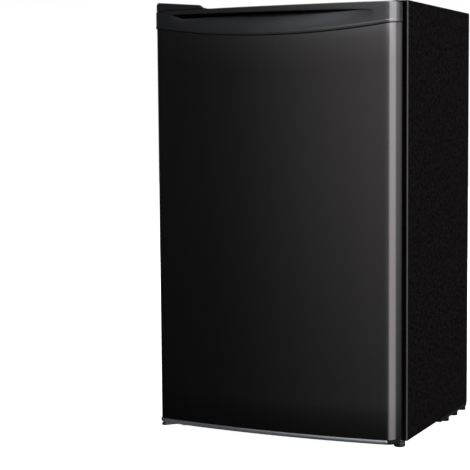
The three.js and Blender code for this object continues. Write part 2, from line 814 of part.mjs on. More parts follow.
// ---- Inside the room ----
function evaporatorBox() {
  const { left, right, front, back, floor, top } = CHILLER;
  const outer = prismY(roundedRect(left, right, floor, top, 8, 3), front, back);
  const inner = prismY(roundedRect(left + 2, right - 2, floor + 2, top - 2, 6, 3), front - 1, back - 2);
  const hangers = [left + 40, right - 40].flatMap((x) =>
    [front + 40, back - 40].map((y) => rodZ(x, y, top - 1, ROOM_TOP - GAP, 5, 10)),
  );
  return join(cut(outer, inner), ...hangers);
}

const FLAP = { left: CHILLER.left + 5, right: CHILLER.right - 5, thick: 5, top: CHILLER.top - 6 };
function chillerFrame() {
  const { left, right, front, floor, top } = CHILLER;
  const [y0, y1] = [front - 12, front - GAP];
  const outer = prismY(roundedRect(left - 5, right + 5, floor - 8, top + 4, 6, 3), y0, y1);
  const mouth = box(FLAP.left - 1, FLAP.right + 1, y0 - 1, y1 + 1, FLAP_AXIS.z - 3.4, FLAP.top + 1);
  const pins = rodX(FLAP.left - 5, FLAP.right + 5, FLAP_AXIS.y, FLAP_AXIS.z, 1.9, 10);
  return cut(outer, mouth, pins);
}

function chillerDoor() {
  const { y, z } = FLAP_AXIS;
  const half = FLAP.thick / 2;
  const profile = [...arc(y, z, half, 180, 360, 8), [y + half, FLAP.top], [y - half, FLAP.top]];
  const panel = prismX(profile, FLAP.left, FLAP.right);
  const middle = (FLAP.left + FLAP.right) / 2;
  const grip = prismX(
    [
      [y - half + 0.5, FLAP.top - 14],
      [y - half + 0.5, FLAP.top - 6],
      [y - half - 8, FLAP.top - 5],
      [y - half - 8, FLAP.top - 8],
    ],
    middle - 45,
    middle + 45,
  );
  return join(panel, grip, rodX(FLAP.left - 4, FLAP.right + 4, y, z, 1.5, 10));
}

function dripTray() {
  const { left, right, front, back, floor } = CHILLER;
  const [high, low] = [floor - 2, floor - 24];
  const outer = prismY(roundedRect(left + 4, right - 4, low, high, 4, 3), front + 0.5, back - 8);
  return outer.subtract(box(left + 6, right - 6, front + 2.5, back - 10, low + 2, high + 1));
}

function glassShelf(z) {
  const half = ROOM_HALF - 1.2;
  return prismZ(roundedRect(-half, half, -40, ROOM_BACK - 3, 3, 2), z, z + 4);
}

function shelfTrim(z) {
  const profile = [
    [-52, z - 5],
    [-40, z - 1],
    [-30, z - 1],
    [-30, z - GAP],
    [-40 - GAP, z - GAP],
    [-40 - GAP, z + 6],
    [-48, z + 8],
    [-52, z + 5],
  ];
  const half = ROOM_HALF - 9;
  return prismX(profile, -half, half);
}

function thermostatHousing() {
  const { x, z, front } = THERMOSTAT;
  const body = prismY(roundedRect(x - 30, ROOM_HALF - 0.5, z - 40, z + 44, 7), front, front + 96);
  const shaft = rodY(x, front - 6, front + 1, z, 3, 12);
  return join(body, shaft);
}

function thermostatKnob() {
  const { x, z, front } = THERMOSTAT;
  const [back, nose] = [front - 1, front - 18];
  const skirt = rodY(x, back - 5, back, z, 20, 28);
  const bar = box(x - 6.5, x + 6.5, nose - 1, back, z - 20, z + 20);
  const grip = rodY(x, nose, back - 4, z, 15, 24).intersect(bar);
  return join(skirt, grip).subtract(rodY(x, front - 7, front, z, 3.4, 12));
}

function backPanel() {
  return slab(HALF - STEEL - GAP, BACK - 1.6, BACK - 0.4, BAY.roof + 2.6, TOP - 4);
}

// ---- Assembly ----
put(fridge, "cabinet_wrapper", cabinetWrapper(), blackSteel);
put(fridge, "bottom_front_rail", frontRail(), blackSteel);
put(fridge, "bottom_panel", bottomPanel(), zincSteel);
put(fridge, "back_panel", backPanel(), zincSteel);
put(fridge, "cabinet_foam", foamBlock(), foamYellow);
put(fridge, "inner_liner", innerLiner(), whitePlastic);
put(fridge, "condenser_coil_left", condenserCoil(-1), copper);
put(fridge, "condenser_coil_right", condenserCoil(1), copper);

put(fridge, "compressor_base", compressorBase(), zincSteel);
put(fridge, "compressor_shell", compressorShell(), blackSteel);
put(fridge, "compressor_feet", compressorFeet(), zincSteel);
grommetPlaces().forEach(([x, y], i) => put(fridge, `grommet_${i + 1}`, grommet(x, y), rubber));
put(fridge, "relay_cover", relayCover(), blackPlastic);
put(fridge, "discharge_tube", dischargeTube(), copper);
put(fridge, "suction_tube", suctionTube(), copper);
put(fridge, "filter_drier", filterDrier(), copper);
put(fridge, "drain_pan", drainPan(), blackPlastic);
put(fridge, "drain_tube", drainTube(), whitePlastic);
put(fridge, "cord_gland", cordGland(), rubber);
put(fridge, "gland_plate", glandPlate(), zincSteel);

put(fridge, "evaporator_box", evaporatorBox(), aluminium);
put(fridge, "chiller_frame", chillerFrame(), whitePlastic);
put(fridge, "drip_tray", dripTray(), clearPlastic);
for (const [name, z] of Object.entries(SHELVES)) {
  put(fridge, `glass_shelf_${name}`, glassShelf(z), glass);
  put(fridge, `shelf_trim_${name}`, shelfTrim(z), clearPlastic);
}
put(fridge, "thermostat_housing", thermostatHousing(), whitePlastic);

put(fridge, "top_hinge_plate", topHingePlate(), zincSteel);
put(fridge, "top_hinge_cover", topHingeCover(), blackPlastic);
put(fridge, "lower_hinge_bracket", lowerHingeBracket(), blackSteel);
TOP_SCREWS.forEach(([x, y], i) => {
  put(fridge, `top_hinge_screw_${i + 1}`, hingeScrewTop(x, y), zincSteel);
});
LOWER_SCREWS.forEach(([x, z], i) => {
  put(fridge, `lower_hinge_screw_${i + 1}`, hingeScrewLower(x, z), zincSteel);
});
put(fridge, "hinge_hole_plug", hingeHolePlug(...PLUG), blackPlastic);
put(fridge, "skid_left", skid(-1), rubber);
put(fridge, "skid_right", skid(1), rubber);

["left", "right"].forEach((side, i) => {
  const [x, y] = footPlaces()[i];
  put(fridge, `foot_pad_${side}`, footPad(x, y), rubber);
  put(fridge, `foot_stem_${side}`, footStem(x, y), zincSteel);
});

put(door, "door_skin", doorSkin(), doorSteel);
put(door, "door_top_cap", doorTopCap(), blackPlastic);
put(door, "door_bottom_cap", doorBottomCap(), trimMetal);
put(door, "door_liner", doorLiner(), whitePlastic);
put(door, "door_foam", doorFoam(), foamYellow);
put(door, "door_gasket", doorGasket(), rubber);
put(door, "hinge_bushing_top", bushing(DOOR_HEAD - 14, DOOR_HEAD), whitePlastic);
put(door, "hinge_bushing_bottom", bushing(DOOR_FOOT, FOOT_TRIM_TOP), whitePlastic);
put(door, "bin_top", doorBin(560, 62, 40), clearPlastic);
put(door, "bin_middle", doorBin(330, 70, 44), clearPlastic);
put(door, "bin_bottom", doorBin(80, 96, 62), clearPlastic);
put(door, "bin_rail_middle", binRail(388), zincSteel);
put(door, "bin_rail_bottom", binRail(164), zincSteel);

put(fridge, "chiller_door", chillerDoor(), whitePlastic);
put(fridge, "thermostat_knob", thermostatKnob(), whitePlastic);

export default fridge;
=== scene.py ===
"""A compact refrigerator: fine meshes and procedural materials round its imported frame, in a pale studio.

Pieces are modelled in millimetres and stored in metres. +X is right of someone facing the door, and -Y is
towards them.
"""

import json
from math import atan2, copysign, cos, hypot, pi, radians, sin, sqrt, tan

import bmesh
import bpy
from mathutils import Matrix, Vector

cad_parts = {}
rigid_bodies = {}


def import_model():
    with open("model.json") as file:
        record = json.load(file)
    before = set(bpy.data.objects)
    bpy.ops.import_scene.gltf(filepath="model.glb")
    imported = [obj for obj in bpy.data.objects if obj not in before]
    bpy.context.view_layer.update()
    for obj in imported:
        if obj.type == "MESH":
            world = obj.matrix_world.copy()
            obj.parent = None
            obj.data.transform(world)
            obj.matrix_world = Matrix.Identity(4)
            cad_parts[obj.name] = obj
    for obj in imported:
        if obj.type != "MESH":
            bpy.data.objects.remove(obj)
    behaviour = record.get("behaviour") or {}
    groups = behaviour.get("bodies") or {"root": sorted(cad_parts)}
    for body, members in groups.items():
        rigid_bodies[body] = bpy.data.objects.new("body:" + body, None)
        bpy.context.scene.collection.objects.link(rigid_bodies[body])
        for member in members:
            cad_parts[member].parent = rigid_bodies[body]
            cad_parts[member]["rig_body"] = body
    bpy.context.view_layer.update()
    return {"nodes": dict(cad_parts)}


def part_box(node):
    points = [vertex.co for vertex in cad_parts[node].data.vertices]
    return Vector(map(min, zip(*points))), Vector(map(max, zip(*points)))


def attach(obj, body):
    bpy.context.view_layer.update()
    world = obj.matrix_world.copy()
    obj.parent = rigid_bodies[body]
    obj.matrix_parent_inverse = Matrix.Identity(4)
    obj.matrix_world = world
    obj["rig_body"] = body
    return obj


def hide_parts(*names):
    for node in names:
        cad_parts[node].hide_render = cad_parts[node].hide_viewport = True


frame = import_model()
NODES = frame["nodes"]
MM = 0.001


# ---- Places, from the frame, in millimetres ----
def box_of(node):
    low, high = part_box(node)
    return low / MM, high / MM


SKIN_LOW, SKIN_HIGH = box_of("door_skin")
CAP_LOW, CAP_HIGH = box_of("door_top_cap")
TRIM_LOW, TRIM_HIGH = box_of("door_bottom_cap")
SHELL_LOW, SHELL_HIGH = box_of("cabinet_wrapper")

DOOR_HALF = SKIN_HIGH.x
DOOR_REAR = SKIN_HIGH.y
DOOR_APEX = SKIN_LOW.y
DOOR_BOW = 18.0
DOOR_CORNER = 20.0
PROUD = CAP_HIGH.x - DOOR_HALF
SMILE_LOW = CAP_LOW.z
SMILE_RISE = 19.6
SMILE_HALF = 246.0

BOW_RADIUS = (DOOR_HALF**2 + DOOR_BOW**2) / (2 * DOOR_BOW)
BOW_CENTRE = DOOR_APEX + BOW_RADIUS
CORNER_X = DOOR_HALF - DOOR_CORNER
CORNER_Y = BOW_CENTRE - sqrt((BOW_RADIUS - DOOR_CORNER) ** 2 - CORNER_X**2)
SPREAD = atan2(CORNER_X, BOW_CENTRE - CORNER_Y)


# ---- Materials ----
class Nodes:
    """Adds nodes to a tree. Inputs are given by socket, as a number, a colour or another node's output."""

    def __init__(self, tree):
        self.tree = tree

    def feed(self, inputs, values):
        for socket, value in values.items():
            if isinstance(value, bpy.types.NodeSocket):
                self.tree.links.new(value, inputs[socket])
            else:
                inputs[socket].default_value = value

    def add(self, kind, values=(), **settings):
        made = self.tree.nodes.new(kind)
        for key, value in settings.items():
            setattr(made, key, value)
        self.feed(made.inputs, dict(values))
        return made.outputs

    def ramp(self, value, low, high, start=0.3, end=0.7, kind="LINEAR"):
        """Maps start..end of a value to low..high."""
        ends = {"From Min": start, "From Max": end, "To Min": low, "To Max": high}
        return self.add("ShaderNodeMapRange", {"Value": value, **ends}, interpolation_type=kind)["Result"]


class Shader(Nodes):
    """One Principled material. Its patterns use object coordinates, in metres."""

    def __init__(self, name, color, roughness, **sockets):
        self.material = bpy.data.materials.new(name)
        self.material.use_nodes = True
        super().__init__(self.material.node_tree)
        self.main = self.tree.nodes["Principled BSDF"].inputs
        self.color = color
        named = {socket.replace("_", " "): value for socket, value in sockets.items()}
        self.feed(self.main, {"Base Color": (*color, 1), "Roughness": roughness, **named})

    def pattern(self, kind, output, stretch, settings):
        place_at = self.add("ShaderNodeTexCoord")["Object"]
        mapped = self.add("ShaderNodeMapping", {"Vector": place_at, "Scale": stretch})["Vector"]
        return self.add(kind, {"Vector": mapped, **settings})[output]

    def gloss(self, pattern, low, high):
        """Sets the roughness to low..high with the pattern."""
        self.feed(self.main, {"Roughness": self.ramp(self.pattern(*pattern), low, high)})

    def tint(self, pattern, low, high, *ends):
        """Multiplies the colour by low..high with the pattern."""
        values = {"Factor": self.ramp(self.pattern(*pattern), 0, 1, *ends)}
        for socket, share in (("A", low), ("B", high)):
            values[socket] = (*(c * share for c in self.color), 1)
        self.feed(self.main, {"Base Color": self.add("ShaderNodeMix", values, data_type="RGBA")["Result"]})

    def bump(self, pattern, height, strength):
        """Adds a relief whose height is in metres."""
        values = {"Strength": strength, "Distance": height, "Height": self.pattern(*pattern)}
        self.feed(self.main, {"Normal": self.add("ShaderNodeBump", values)["Normal"]})


def noise(scale, stretch=(1, 1, 1), detail=3.0, rough=0.55):
    return "ShaderNodeTexNoise", "Fac", stretch, {"Scale": scale, "Detail": detail, "Roughness": rough}


def cells(scale):
    return "ShaderNodeTexVoronoi", "Distance", (1, 1, 1), {"Scale": scale}


LOOKS = {}


def add_look(name, color, roughness, gloss=None, tint=None, bump=None, **sockets):
    """Adds a material. Gloss, tint and bump are each a pattern and the numbers that say what it does."""
    shader = Shader(name, color, roughness, **sockets)
    for work, values in ((shader.gloss, gloss), (shader.tint, tint), (shader.bump, bump)):
        if values:
            work(*values)
    LOOKS[name] = shader.material


# Black laminated steel with a faint upright grain.
GRAIN = noise(420, (1, 1, 0.006), 4)
add_look("door_steel", (0.24, 0.232, 0.234), 0.24, (GRAIN, 0.225, 0.26),
         (noise(60, (1, 1, 0.02)), 0.96, 1.04), (GRAIN, 0.00001, 0.12), Metallic=1.0)

# Dull black enamel over steel embossed like leather.
add_look("side_steel", (0.0036, 0.003, 0.0033), 0.7, (noise(60), 0.62, 0.78),
         (noise(150, detail=6, rough=0.75), 0.1, 1.9, 0.38, 0.62),
         (noise(300, detail=5, rough=0.7), 0.0006, 0.9), Specular_IOR_Level=0.02)

# Smooth black enamel, for the rail, the hinge bracket and the compressor.
add_look("frame_steel", (0.01, 0.01, 0.011), 0.34, (noise(90), 0.32, 0.46), None, (noise(700), 0.00003, 0.4),
         Specular_IOR_Level=1.0)

# Moulded satin plastic with a fine spark-eroded texture.
add_look("black_plastic", (0.02, 0.0205, 0.022), 0.3, (noise(40), 0.28, 0.34), None,
         (noise(1800, detail=2), 0.00002, 0.35), Specular_IOR_Level=0.6)

# Dark metallic lacquer over moulded plastic, for the head of the door and the hinge cover.
add_look("cap_plastic", (0.265, 0.266, 0.276), 0.22, (noise(40), 0.2, 0.25), None,
         (noise(1800, detail=2), 0.00001, 0.2), Metallic=0.98)

# Near-black, dull colour for parts that sit in the shadow of the door: painted shade.
add_look("painted_shade_black", (0.002, 0.002, 0.002), 0.8, (noise(120), 0.7, 0.8), Specular_IOR_Level=0.02)

# Black enamel on the cabinet's front flange, behind the gasket, made near-black and dull: partly its own
# colour, partly painted shade for the gap.
add_look("flange_shade_black", (0.002, 0.002, 0.002), 0.8, (noise(120), 0.75, 0.85), Specular_IOR_Level=0.02)

# Smooth black nylon, for the levelling feet.
add_look("foot_plastic", (0.008, 0.008, 0.009), 0.25, (noise(80), 0.2, 0.3), Specular_IOR_Level=0.6)

# The ends of the bottom trim: a darker copy of the trim's colour, painted shade.
add_look("trim_shadow", (0.006, 0.006, 0.007), 0.5, (noise(80), 0.45, 0.55), Specular_IOR_Level=0.1)

# Satin grey metal-look trim with a lengthwise grain.
BRUSHED = noise(900, (0.02, 0.05, 1), 3)
add_look("trim_metal", (0.46, 0.475, 0.5), 0.34, (BRUSHED, 0.3, 0.38), (noise(30), 0.9, 1.08),
         (BRUSHED, 0.00002, 0.3), Metallic=0.92)

# Grey ink, for the dial's numbers.
add_look("dial_ink", (0.12, 0.13, 0.14), 0.5, (noise(80), 0.45, 0.55))

# Glossy white vacuum-formed polystyrene.
add_look("white_plastic", (0.8, 0.81, 0.8), 0.3, (noise(25), 0.29, 0.32), (noise(9), 0.99, 1.01),
         (noise(700), 0.00001, 0.2), Subsurface_Weight=0.05, Subsurface_Radius=(0.004, 0.004, 0.004))

# Clear, slightly blue injection-moulded polystyrene.
add_look("clear_plastic", (0.86, 0.93, 0.96), 0.12, (noise(60), 0.08, 0.2), None, (noise(45), 0.00012, 0.3),
         Transmission_Weight=0.82, IOR=1.5)

# Tempered glass with a green cast.
add_look("shelf_glass", (0.82, 0.93, 0.9), 0.03, (noise(14), 0.02, 0.07), Transmission_Weight=0.95, IOR=1.52)

# Pale rigid polyurethane foam.
add_look("foam", (0.74, 0.6, 0.3), 0.9, None, (noise(120, detail=6), 0.75, 1.1), (cells(600), 0.0006, 0.8))

# Galvanised sheet with soft spangle.
add_look("zinc_steel", (0.5, 0.51, 0.52), 0.42, (noise(120), 0.34, 0.55), (cells(150), 0.95, 1.06, 0.1, 0.7),
         (noise(500), 0.00004, 0.4), Metallic=0.75)

# Bright chromed wire.
add_look("chrome_wire", (0.74, 0.75, 0.76), 0.14, (noise(260), 0.1, 0.2), None, (noise(900), 0.00001, 0.3),
         Metallic=1.0)

# Dull roll-bonded aluminium.
add_look("evaporator_aluminium", (0.66, 0.69, 0.71), 0.38, (noise(200), 0.3, 0.5),
         (noise(45, detail=5), 0.85, 1.08), (noise(500, (1, 0.05, 1)), 0.00003, 0.35), Metallic=0.85)

# Handled copper tube, partly tarnished.
add_look("copper", (0.62, 0.29, 0.16), 0.32, (noise(110), 0.24, 0.5), (noise(70, detail=5), 0.55, 1.12),
         (noise(400), 0.00003, 0.4), Metallic=1.0)

# Black rubber.
add_look("rubber", (0.0045, 0.0045, 0.0048), 0.7, (noise(80), 0.6, 0.85), None, (noise(900), 0.00006, 0.5),
         Specular_IOR_Level=0.12)


# ---- Mesh work ----
def finish_mesh(mesh, sharp):
    """Joins doubles, turns the faces outwards, and shades smooth but for edges over sharp degrees."""
    made = bmesh.new()
    made.from_mesh(mesh)
    bmesh.ops.remove_doubles(made, verts=made.verts, dist=0.000004)
    bmesh.ops.recalc_face_normals(made, faces=made.faces)
    for face in made.faces:
        face.smooth = True
    for edge in made.edges:
        edge.smooth = len(edge.link_faces) == 2 and edge.calc_face_angle(0.0) < radians(sharp)
    made.to_mesh(mesh)
    made.free()


def place(obj, look, body, nodes):
    """Gives a piece its material, its body and the nodes that it stands for."""
    obj.data.materials.clear()
    obj.data.materials.append(LOOKS[look])
    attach(obj, body)
    if nodes:
        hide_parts(*nodes)


def add(name, data):
    """A new object in the scene."""
    obj = bpy.data.objects.new(name, data)
    bpy.context.scene.collection.objects.link(obj)
    return obj


def piece(name, parts, look, *nodes, body="cabinet", sharp=32):
    """A new object from (vertices in mm, faces) parts, which rides with the nodes it stands for, if any."""
    vertices, faces = [], []
    for part_vertices, part_faces in parts:
        start = len(vertices)
        vertices += [Vector(v) * MM for v in part_vertices]
        faces += [[start + i for i in face] for face in part_faces]
    mesh = bpy.data.meshes.new(name)
    mesh.from_pydata(vertices, [], faces)
    finish_mesh(mesh, sharp)
    place(add(name, mesh), look, NODES[nodes[0]]["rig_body"] if nodes else body, nodes)


def loft(rings, ring_closed=True, path_closed=False, ends=(0, -1)):
    """Skins rings of equally many points, in order, and closes the rings named as ends of an open path."""
    count = len(rings[0])
    vertices = [point for ring in rings for point in ring]
    faces = []
    for i in range(len(rings) if path_closed else len(rings) - 1):
        j = (i + 1) % len(rings)
        for k in range(count if ring_closed else count - 1):
            m = (k + 1) % count
            faces.append([i * count + k, i * count + m, j * count + m, j * count + k])
    if not path_closed:
        starts = [end % len(rings) * count for end in ends]
        faces += [list(range(start, start + count)) for start in starts]
    return vertices, faces


def hoop(rings, ends=(0, -1)):
    """Skins profiles that stand round a closed path, and closes the holes at the points named as ends."""
    vertices, faces = loft(rings, ring_closed=False, path_closed=True)
    count = len(rings[0])
    faces += [[i * count + end % count for i in range(len(rings))] for end in ends]
    return vertices, faces


def rounded_path(u0, u1, v0, v1, radius, steps=8):
    """A closed path of (u, v, normal u, normal v) round a rectangle with round corners."""
    path = []
    corners = ((u1, v1, 0), (u0, v1, 90), (u0, v0, 180), (u1, v0, 270))
    for corner_u, corner_v, start in corners:
        cu = corner_u - copysign(radius, corner_u - (u0 + u1) / 2)
        cv = corner_v - copysign(radius, corner_v - (v0 + v1) / 2)
        for i in range(steps + 1):
            a = radians(start + 90 * i / steps)
            path.append((cu + radius * cos(a), cv + radius * sin(a), cos(a), sin(a)))
    return path


def sweep(path, profile):
    """Rings of a profile of (out, z), or of what profile(x, y) gives, along (x, y, normal x, normal y)."""
    rings = []
    for x, y, nx, ny in path:
        points = profile(x, y) if callable(profile) else profile
        rings.append([(x + nx * out, y + ny * out, z) for out, z in points])
    return rings


def turned(profile, centre, axis="z", sides=40, stretch=1.0, hollow=False):
    """A turned body from (radius, along) points, whose along axis starts at the centre."""
    cx, cy, cz = centre
    rings = []
    for i in range(sides):
        a = 2 * pi * i / sides
        c, s = cos(a), sin(a)
        points = [(max(r, 0.01), along) for r, along in profile]
        if axis == "z":
            rings.append([(cx + r * c * stretch, cy + r * s, cz + along) for r, along in points])
        else:
            rings.append([(cx + r * c, cy + along, cz + r * s) for r, along in points])
    return loft(rings, path_closed=True) if hollow else hoop(rings)


def turned_on(node, profile, start=0.0, axis="z", **options):
    """A body turned about a node's middle line, from a distance in from the node's low face."""
    low, high = box_of(node)
    x, y, z = (low + high) / 2
    centre = (x, y, low.z + start) if axis == "z" else (x, low.y + start, z)
    return turned(profile, centre, axis, **options)


def block(x0, x1, y0, y1, z0, z1, radius=1.0, steps=3):
    """A box whose upright and lying edges are all rounded."""
    radius = min(radius, (x1 - x0) / 2.01, (y1 - y0) / 2.01, (z1 - z0) / 2.01)
    low = [(-radius * (1 - sin(a)), z0 + radius * (1 - cos(a))) for a in quarter(steps)]
    high = [(out, z1 - (z - z0)) for out, z in reversed(low)]
    return hoop(sweep(rounded_path(x0, x1, y0, y1, radius, steps), low + high))


def quarter(steps):
    return [pi / 2 * i / steps for i in range(steps + 1)]


def bent(points, radius, steps=6):
    """A polyline whose corners are rounded."""
    points = [Vector(p) for p in points]
    made = [points[0]]
    for before, corner, after in zip(points, points[1:], points[2:]):
        a, b = (before - corner).normalized(), (after - corner).normalized()
        angle = a.angle(b)
        reach = min(radius / tan(angle / 2), (before - corner).length / 2.01, (after - corner).length / 2.01)
        start, end = corner + a * reach, corner + b * reach
        for i in range(steps + 1):
            t = i / steps
            made.append(start * (1 - t) ** 2 + corner * 2 * t * (1 - t) + end * t * t)
    made.append(points[-1])
    return made


def pipe(points, radius, sides=14):
    """A round bar along points."""
    points = [Vector(p) for p in points]
    rings = []
    normal = None
    for i, point in enumerate(points):
        ahead = points[min(i + 1, len(points) - 1)] - points[max(i - 1, 0)]
        ahead.normalize()
        if normal is None:
            normal = ahead.orthogonal().normalized()
        normal = (normal - ahead * normal.dot(ahead)).normalized()
        side = ahead.cross(normal)
        angles = [2 * pi * k / sides for k in range(sides)]
        rings.append([point + (normal * cos(a) + side * sin(a)) * radius for a in angles])
    return loft(rings)


def refined(node, look, width=0.6, segments=2):
    """Stands in for a CAD node with the same shape, its flat faces whole and its edges rounded."""
    source = NODES[node]
    mesh = source.data.copy()
    mesh.name = node + "_fine"
    made = bmesh.new()
    made.from_mesh(mesh)
    bmesh.ops.remove_doubles(made, verts=made.verts, dist=0.00001)
    flat = radians(1)
    bmesh.ops.dissolve_limit(made, angle_limit=flat, verts=made.verts, edges=made.edges, delimit={"NORMAL"})
    for face in made.faces:
        face.smooth = True
    made.to_mesh(mesh)
    made.free()
    obj = add(mesh.name, mesh)
    bevel = obj.modifiers.new("edges", "BEVEL")
    bevel.width = width * MM
    bevel.segments = segments
    bevel.limit_method = "ANGLE"
    bevel.angle_limit = radians(30)
    bevel.harden_normals = True
    place(obj, look, source["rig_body"], [node])


# ---- Door ----
def smile(x, y):
    """Height of the top trim's curved lower edge, which goes on rising along the door's sides."""
    reach = x + copysign(0.6 * max(0.0, y - CORNER_Y), x) * (abs(x) > CORNER_X)
    rise = SMILE_RISE * ((reach - 18) / SMILE_HALF) ** 2
    return SMILE_LOW + min(rise, SMILE_RISE + 0.6)


def door_path(rear, bow_steps, corner_steps=14, hem=0.0):
    """The door's outline in plan from its left rear to its right rear, with outward normals."""
    half = []
    for i in range(corner_steps + 1):
        a = -pi / 2 + (pi / 2 - SPREAD) * i / corner_steps
        half.append((-CORNER_X + DOOR_CORNER * sin(a), CORNER_Y - DOOR_CORNER * cos(a), a))
    for i in range(1, bow_steps // 2):
        a = -SPREAD + SPREAD * i / (bow_steps // 2)
        half.append((BOW_RADIUS * sin(a), BOW_CENTRE - BOW_RADIUS * cos(a), a))
    left = [(-DOOR_HALF, rear, -pi / 2), (-DOOR_HALF, (rear + CORNER_Y) / 2, -pi / 2), *half]
    if hem:
        turn = [(-DOOR_HALF + hem, rear, -pi)]
        for a in (quarter_turn - pi for quarter_turn in quarter(4)[:-1]):
            turn.append((-DOOR_HALF + 2 + 2 * sin(a), rear - 2 - 2 * cos(a), a))
        left = turn + [(x, y if y < rear else rear - 2, a) for x, y, a in left]
    middle = [(0.0, DOOR_APEX, 0.0)]
    right = [(-x, y, -a) for x, y, a in reversed(left)]
    return [(x, y, sin(a), -cos(a)) for x, y, a in left + middle + right]


SIDE_REAR = DOOR_REAR - 10.5


def door_panel():
    """The bowed steel skin, one sheet that wraps the sides and turns in at the back."""
    sheet, seam = 1.0, 0.9
    low = SKIN_LOW.z

    def profile(x, y):
        high = smile(x, y) - seam
        face = [(0, z) for z in (low + 0.5, low + 60, (low + high) / 2, high - 60, high - 0.6)]
        return [(-0.15, low), *face, (-0.25, high), (-sheet, high), (-sheet, low)]

    rings = sweep(door_path(SIDE_REAR, bow_steps=96, hem=11), profile)
    piece("door_panel", [loft(rings)], "door_steel", "door_skin")


POCKET_HALF = 206.0
POCKET_DEPTH = 27.0
SLOT_TOP = 815.5
# The face steps back by STEP at a fold this far above the lower edge.
FOLD = 5.5
STEP = 0.5
# The points of cap_profile that lie inside the slot.
POCKET_FIRST = 26
POCKET_LAST = 33


def cap_profile(x, y):
    """The front of the top trim at x, from under its lower edge to its top: (depth behind the face, z)."""
    t = max(0.0, 1 - (x / POCKET_HALF) ** 2)
    ends = min(1.0, (1 - min(abs(x) / POCKET_HALF, 1.0)) * (7 if x < 0 else 2.2))
    ends = ends * ends * (3 - 2 * ends)
    shallow = 10.5 * t**0.9
    deep = shallow + (POCKET_DEPTH - 10.5) * ends
    across = min(max((x + POCKET_HALF) / (2 * POCKET_HALF), 0.0), 1.0)
    slot_top = SLOT_TOP - 5.5 * across
    slot_low = slot_top - (1.4 + 7.4 * (1 - across) ** 1.6) * ends
    low = smile(x, y)
    fold = low + FOLD
    rise = slot_low - fold
    points = [(9, low - 4), (4.2, low - 4), (4.2, low + 1.5), (1.7, low + 1.5), (1.2, low + 0.5)]
    points += [(0.6, low + 0.3), (0.15, low + 0.6), (0, low + 1.4)]
    points += [(0, fold - 1.1), (0.12 * STEP, fold - 0.5), (STEP, fold + 0.2)]
    steps = 14
    for i in range(1, steps + 1):
        u = i / steps
        inward = 0.5 * u + 0.5 * u * u
        points.append((STEP + shallow * inward, fold + rise * u + 0.2 * (1 - u)))
    reach = deep - shallow
    points += [
        (STEP + shallow + 0.5 * ends, slot_low + 0.1 * ends),
        (STEP + shallow + 1.2 * ends, slot_low - 0.5 * ends),
        (STEP + shallow + 0.3 * reach, slot_low - 1.5 * ends),
        (STEP + deep, slot_low - 2 * ends),
        (STEP + deep, slot_top + 3 * ends),
        (STEP + 2.6 * ends, slot_top + 3 * ends),
        (STEP + 2.2 * ends, slot_top + 1.4 * ends),
        (STEP + 1.4 * ends, slot_top + 0.2),
        (STEP + 0.6 * ends, slot_top + 0.3),
        (STEP + 0.1 * ends, slot_top + 0.9),
        (STEP, slot_top + 1.8),
        (STEP, CAP_HIGH.z - 2),
    ]
    points += [(STEP + 2 - 2 * cos(a), CAP_HIGH.z - 2 + 2 * sin(a)) for a in quarter(5)[1:]]
    return points + [(STEP + 8, CAP_HIGH.z)]


def pocket_profile(x, y):
    """The near-black lining of the slot at x, painted shade for its dark inside: (depth, z) round its floor,
    rear wall and ceiling, then back outside.
    """
    path = cap_profile(x, y)
    inside = path[POCKET_FIRST:POCKET_LAST]
    skin = 0.12
    (d0, z0), *_, (d1, z1) = inside
    deepest = max(d for d, _ in inside)
    floor_z = min(z for _, z in inside)
    ceiling = max(z for _, z in inside)
    inner = [(d0 + 0.1, z0 + skin), (deepest - skin, floor_z + skin), (deepest - skin, ceiling - skin)]
    inner += [(d1 + 0.9, ceiling - skin), (d1 + 0.5, z1 - skin)]
    outer = [(d1 + 0.9, z1 + 0.3), (d1 + 1.3, ceiling + 0.5), (deepest + 0.6, ceiling + 0.5)]
    outer += [(deepest + 0.6, floor_z - 0.6), (d0 + 0.3, z0 - 0.5)]
    return inner + outer


def backed(rings, rear):
    """A door trim from its front surface: strips run back to a flat rear at the top and the bottom."""
    vertices, faces = loft(rings, ring_closed=False, ends=())
    count = len(rings[0])
    edges = []
    for column in (0, count - 1):
        start = len(vertices)
        vertices += [(ring[column][0], rear, ring[column][2]) for ring in rings]
        for i in range(len(rings) - 1):
            faces.append([i * count + column, (i + 1) * count + column, start + i + 1, start + i])
        edges.append(list(range(start, start + len(rings))))
    faces.append(edges[0] + edges[1][::-1])
    return vertices, faces


def trim_rings(profile_at, bow_steps=96, corner_steps=14):
    """Rings of a trim from profile_at(x, y), as (depth behind its face, z), fading into the door's sides."""
    rings = []
    for x, y, nx, ny in door_path(SIDE_REAR, bow_steps, corner_steps):
        along_side = min(1.0, max(0.0, y - CORNER_Y) / (SIDE_REAR - CORNER_Y))
        proud = PROUD * (1 - 0.85 * along_side)
        points = [(proud - depth, z) for depth, z in profile_at(x, y)]
        rings.append([(x + nx * out, min(y + ny * out, SIDE_REAR), z) for out, z in points])
    return rings


def door_cap():
    """The moulded top trim: curved lower edge, finger scoop and slot, rounded head."""
    nodes = ["door_top_cap"]
    piece("door_cap", [backed(trim_rings(cap_profile, 180, 18), SIDE_REAR)], "cap_plastic", *nodes, sharp=38)

    # A near-black band in the seam under the trim: painted shade for the dark line there.
    def band(x, y):
        low, high = smile(x, y) - 1.2, smile(x, y) + 1.2
        return [(-0.2, low), (-0.2, high), (-1.9, high), (-1.9, low)]

    def slot(x, y):
        return [(PROUD - depth, z) for depth, z in pocket_profile(x, y)]

    seam = sweep(door_path(SIDE_REAR - 0.4, 180, 18), band)
    piece("seam_shade_band", [loft(seam)], "painted_shade_black", *nodes, sharp=38)
    # A near-black lining inside the finger slot: painted shade.
    path = [spot for spot in door_path(SIDE_REAR, 240, 18) if abs(spot[0]) < POCKET_HALF * 0.985]
    piece("finger_slot_shade", [loft(sweep(path, slot))], "painted_shade_black", *nodes, sharp=38)


TRIM_LEFT = -237.5
TRIM_RIGHT = 232.0


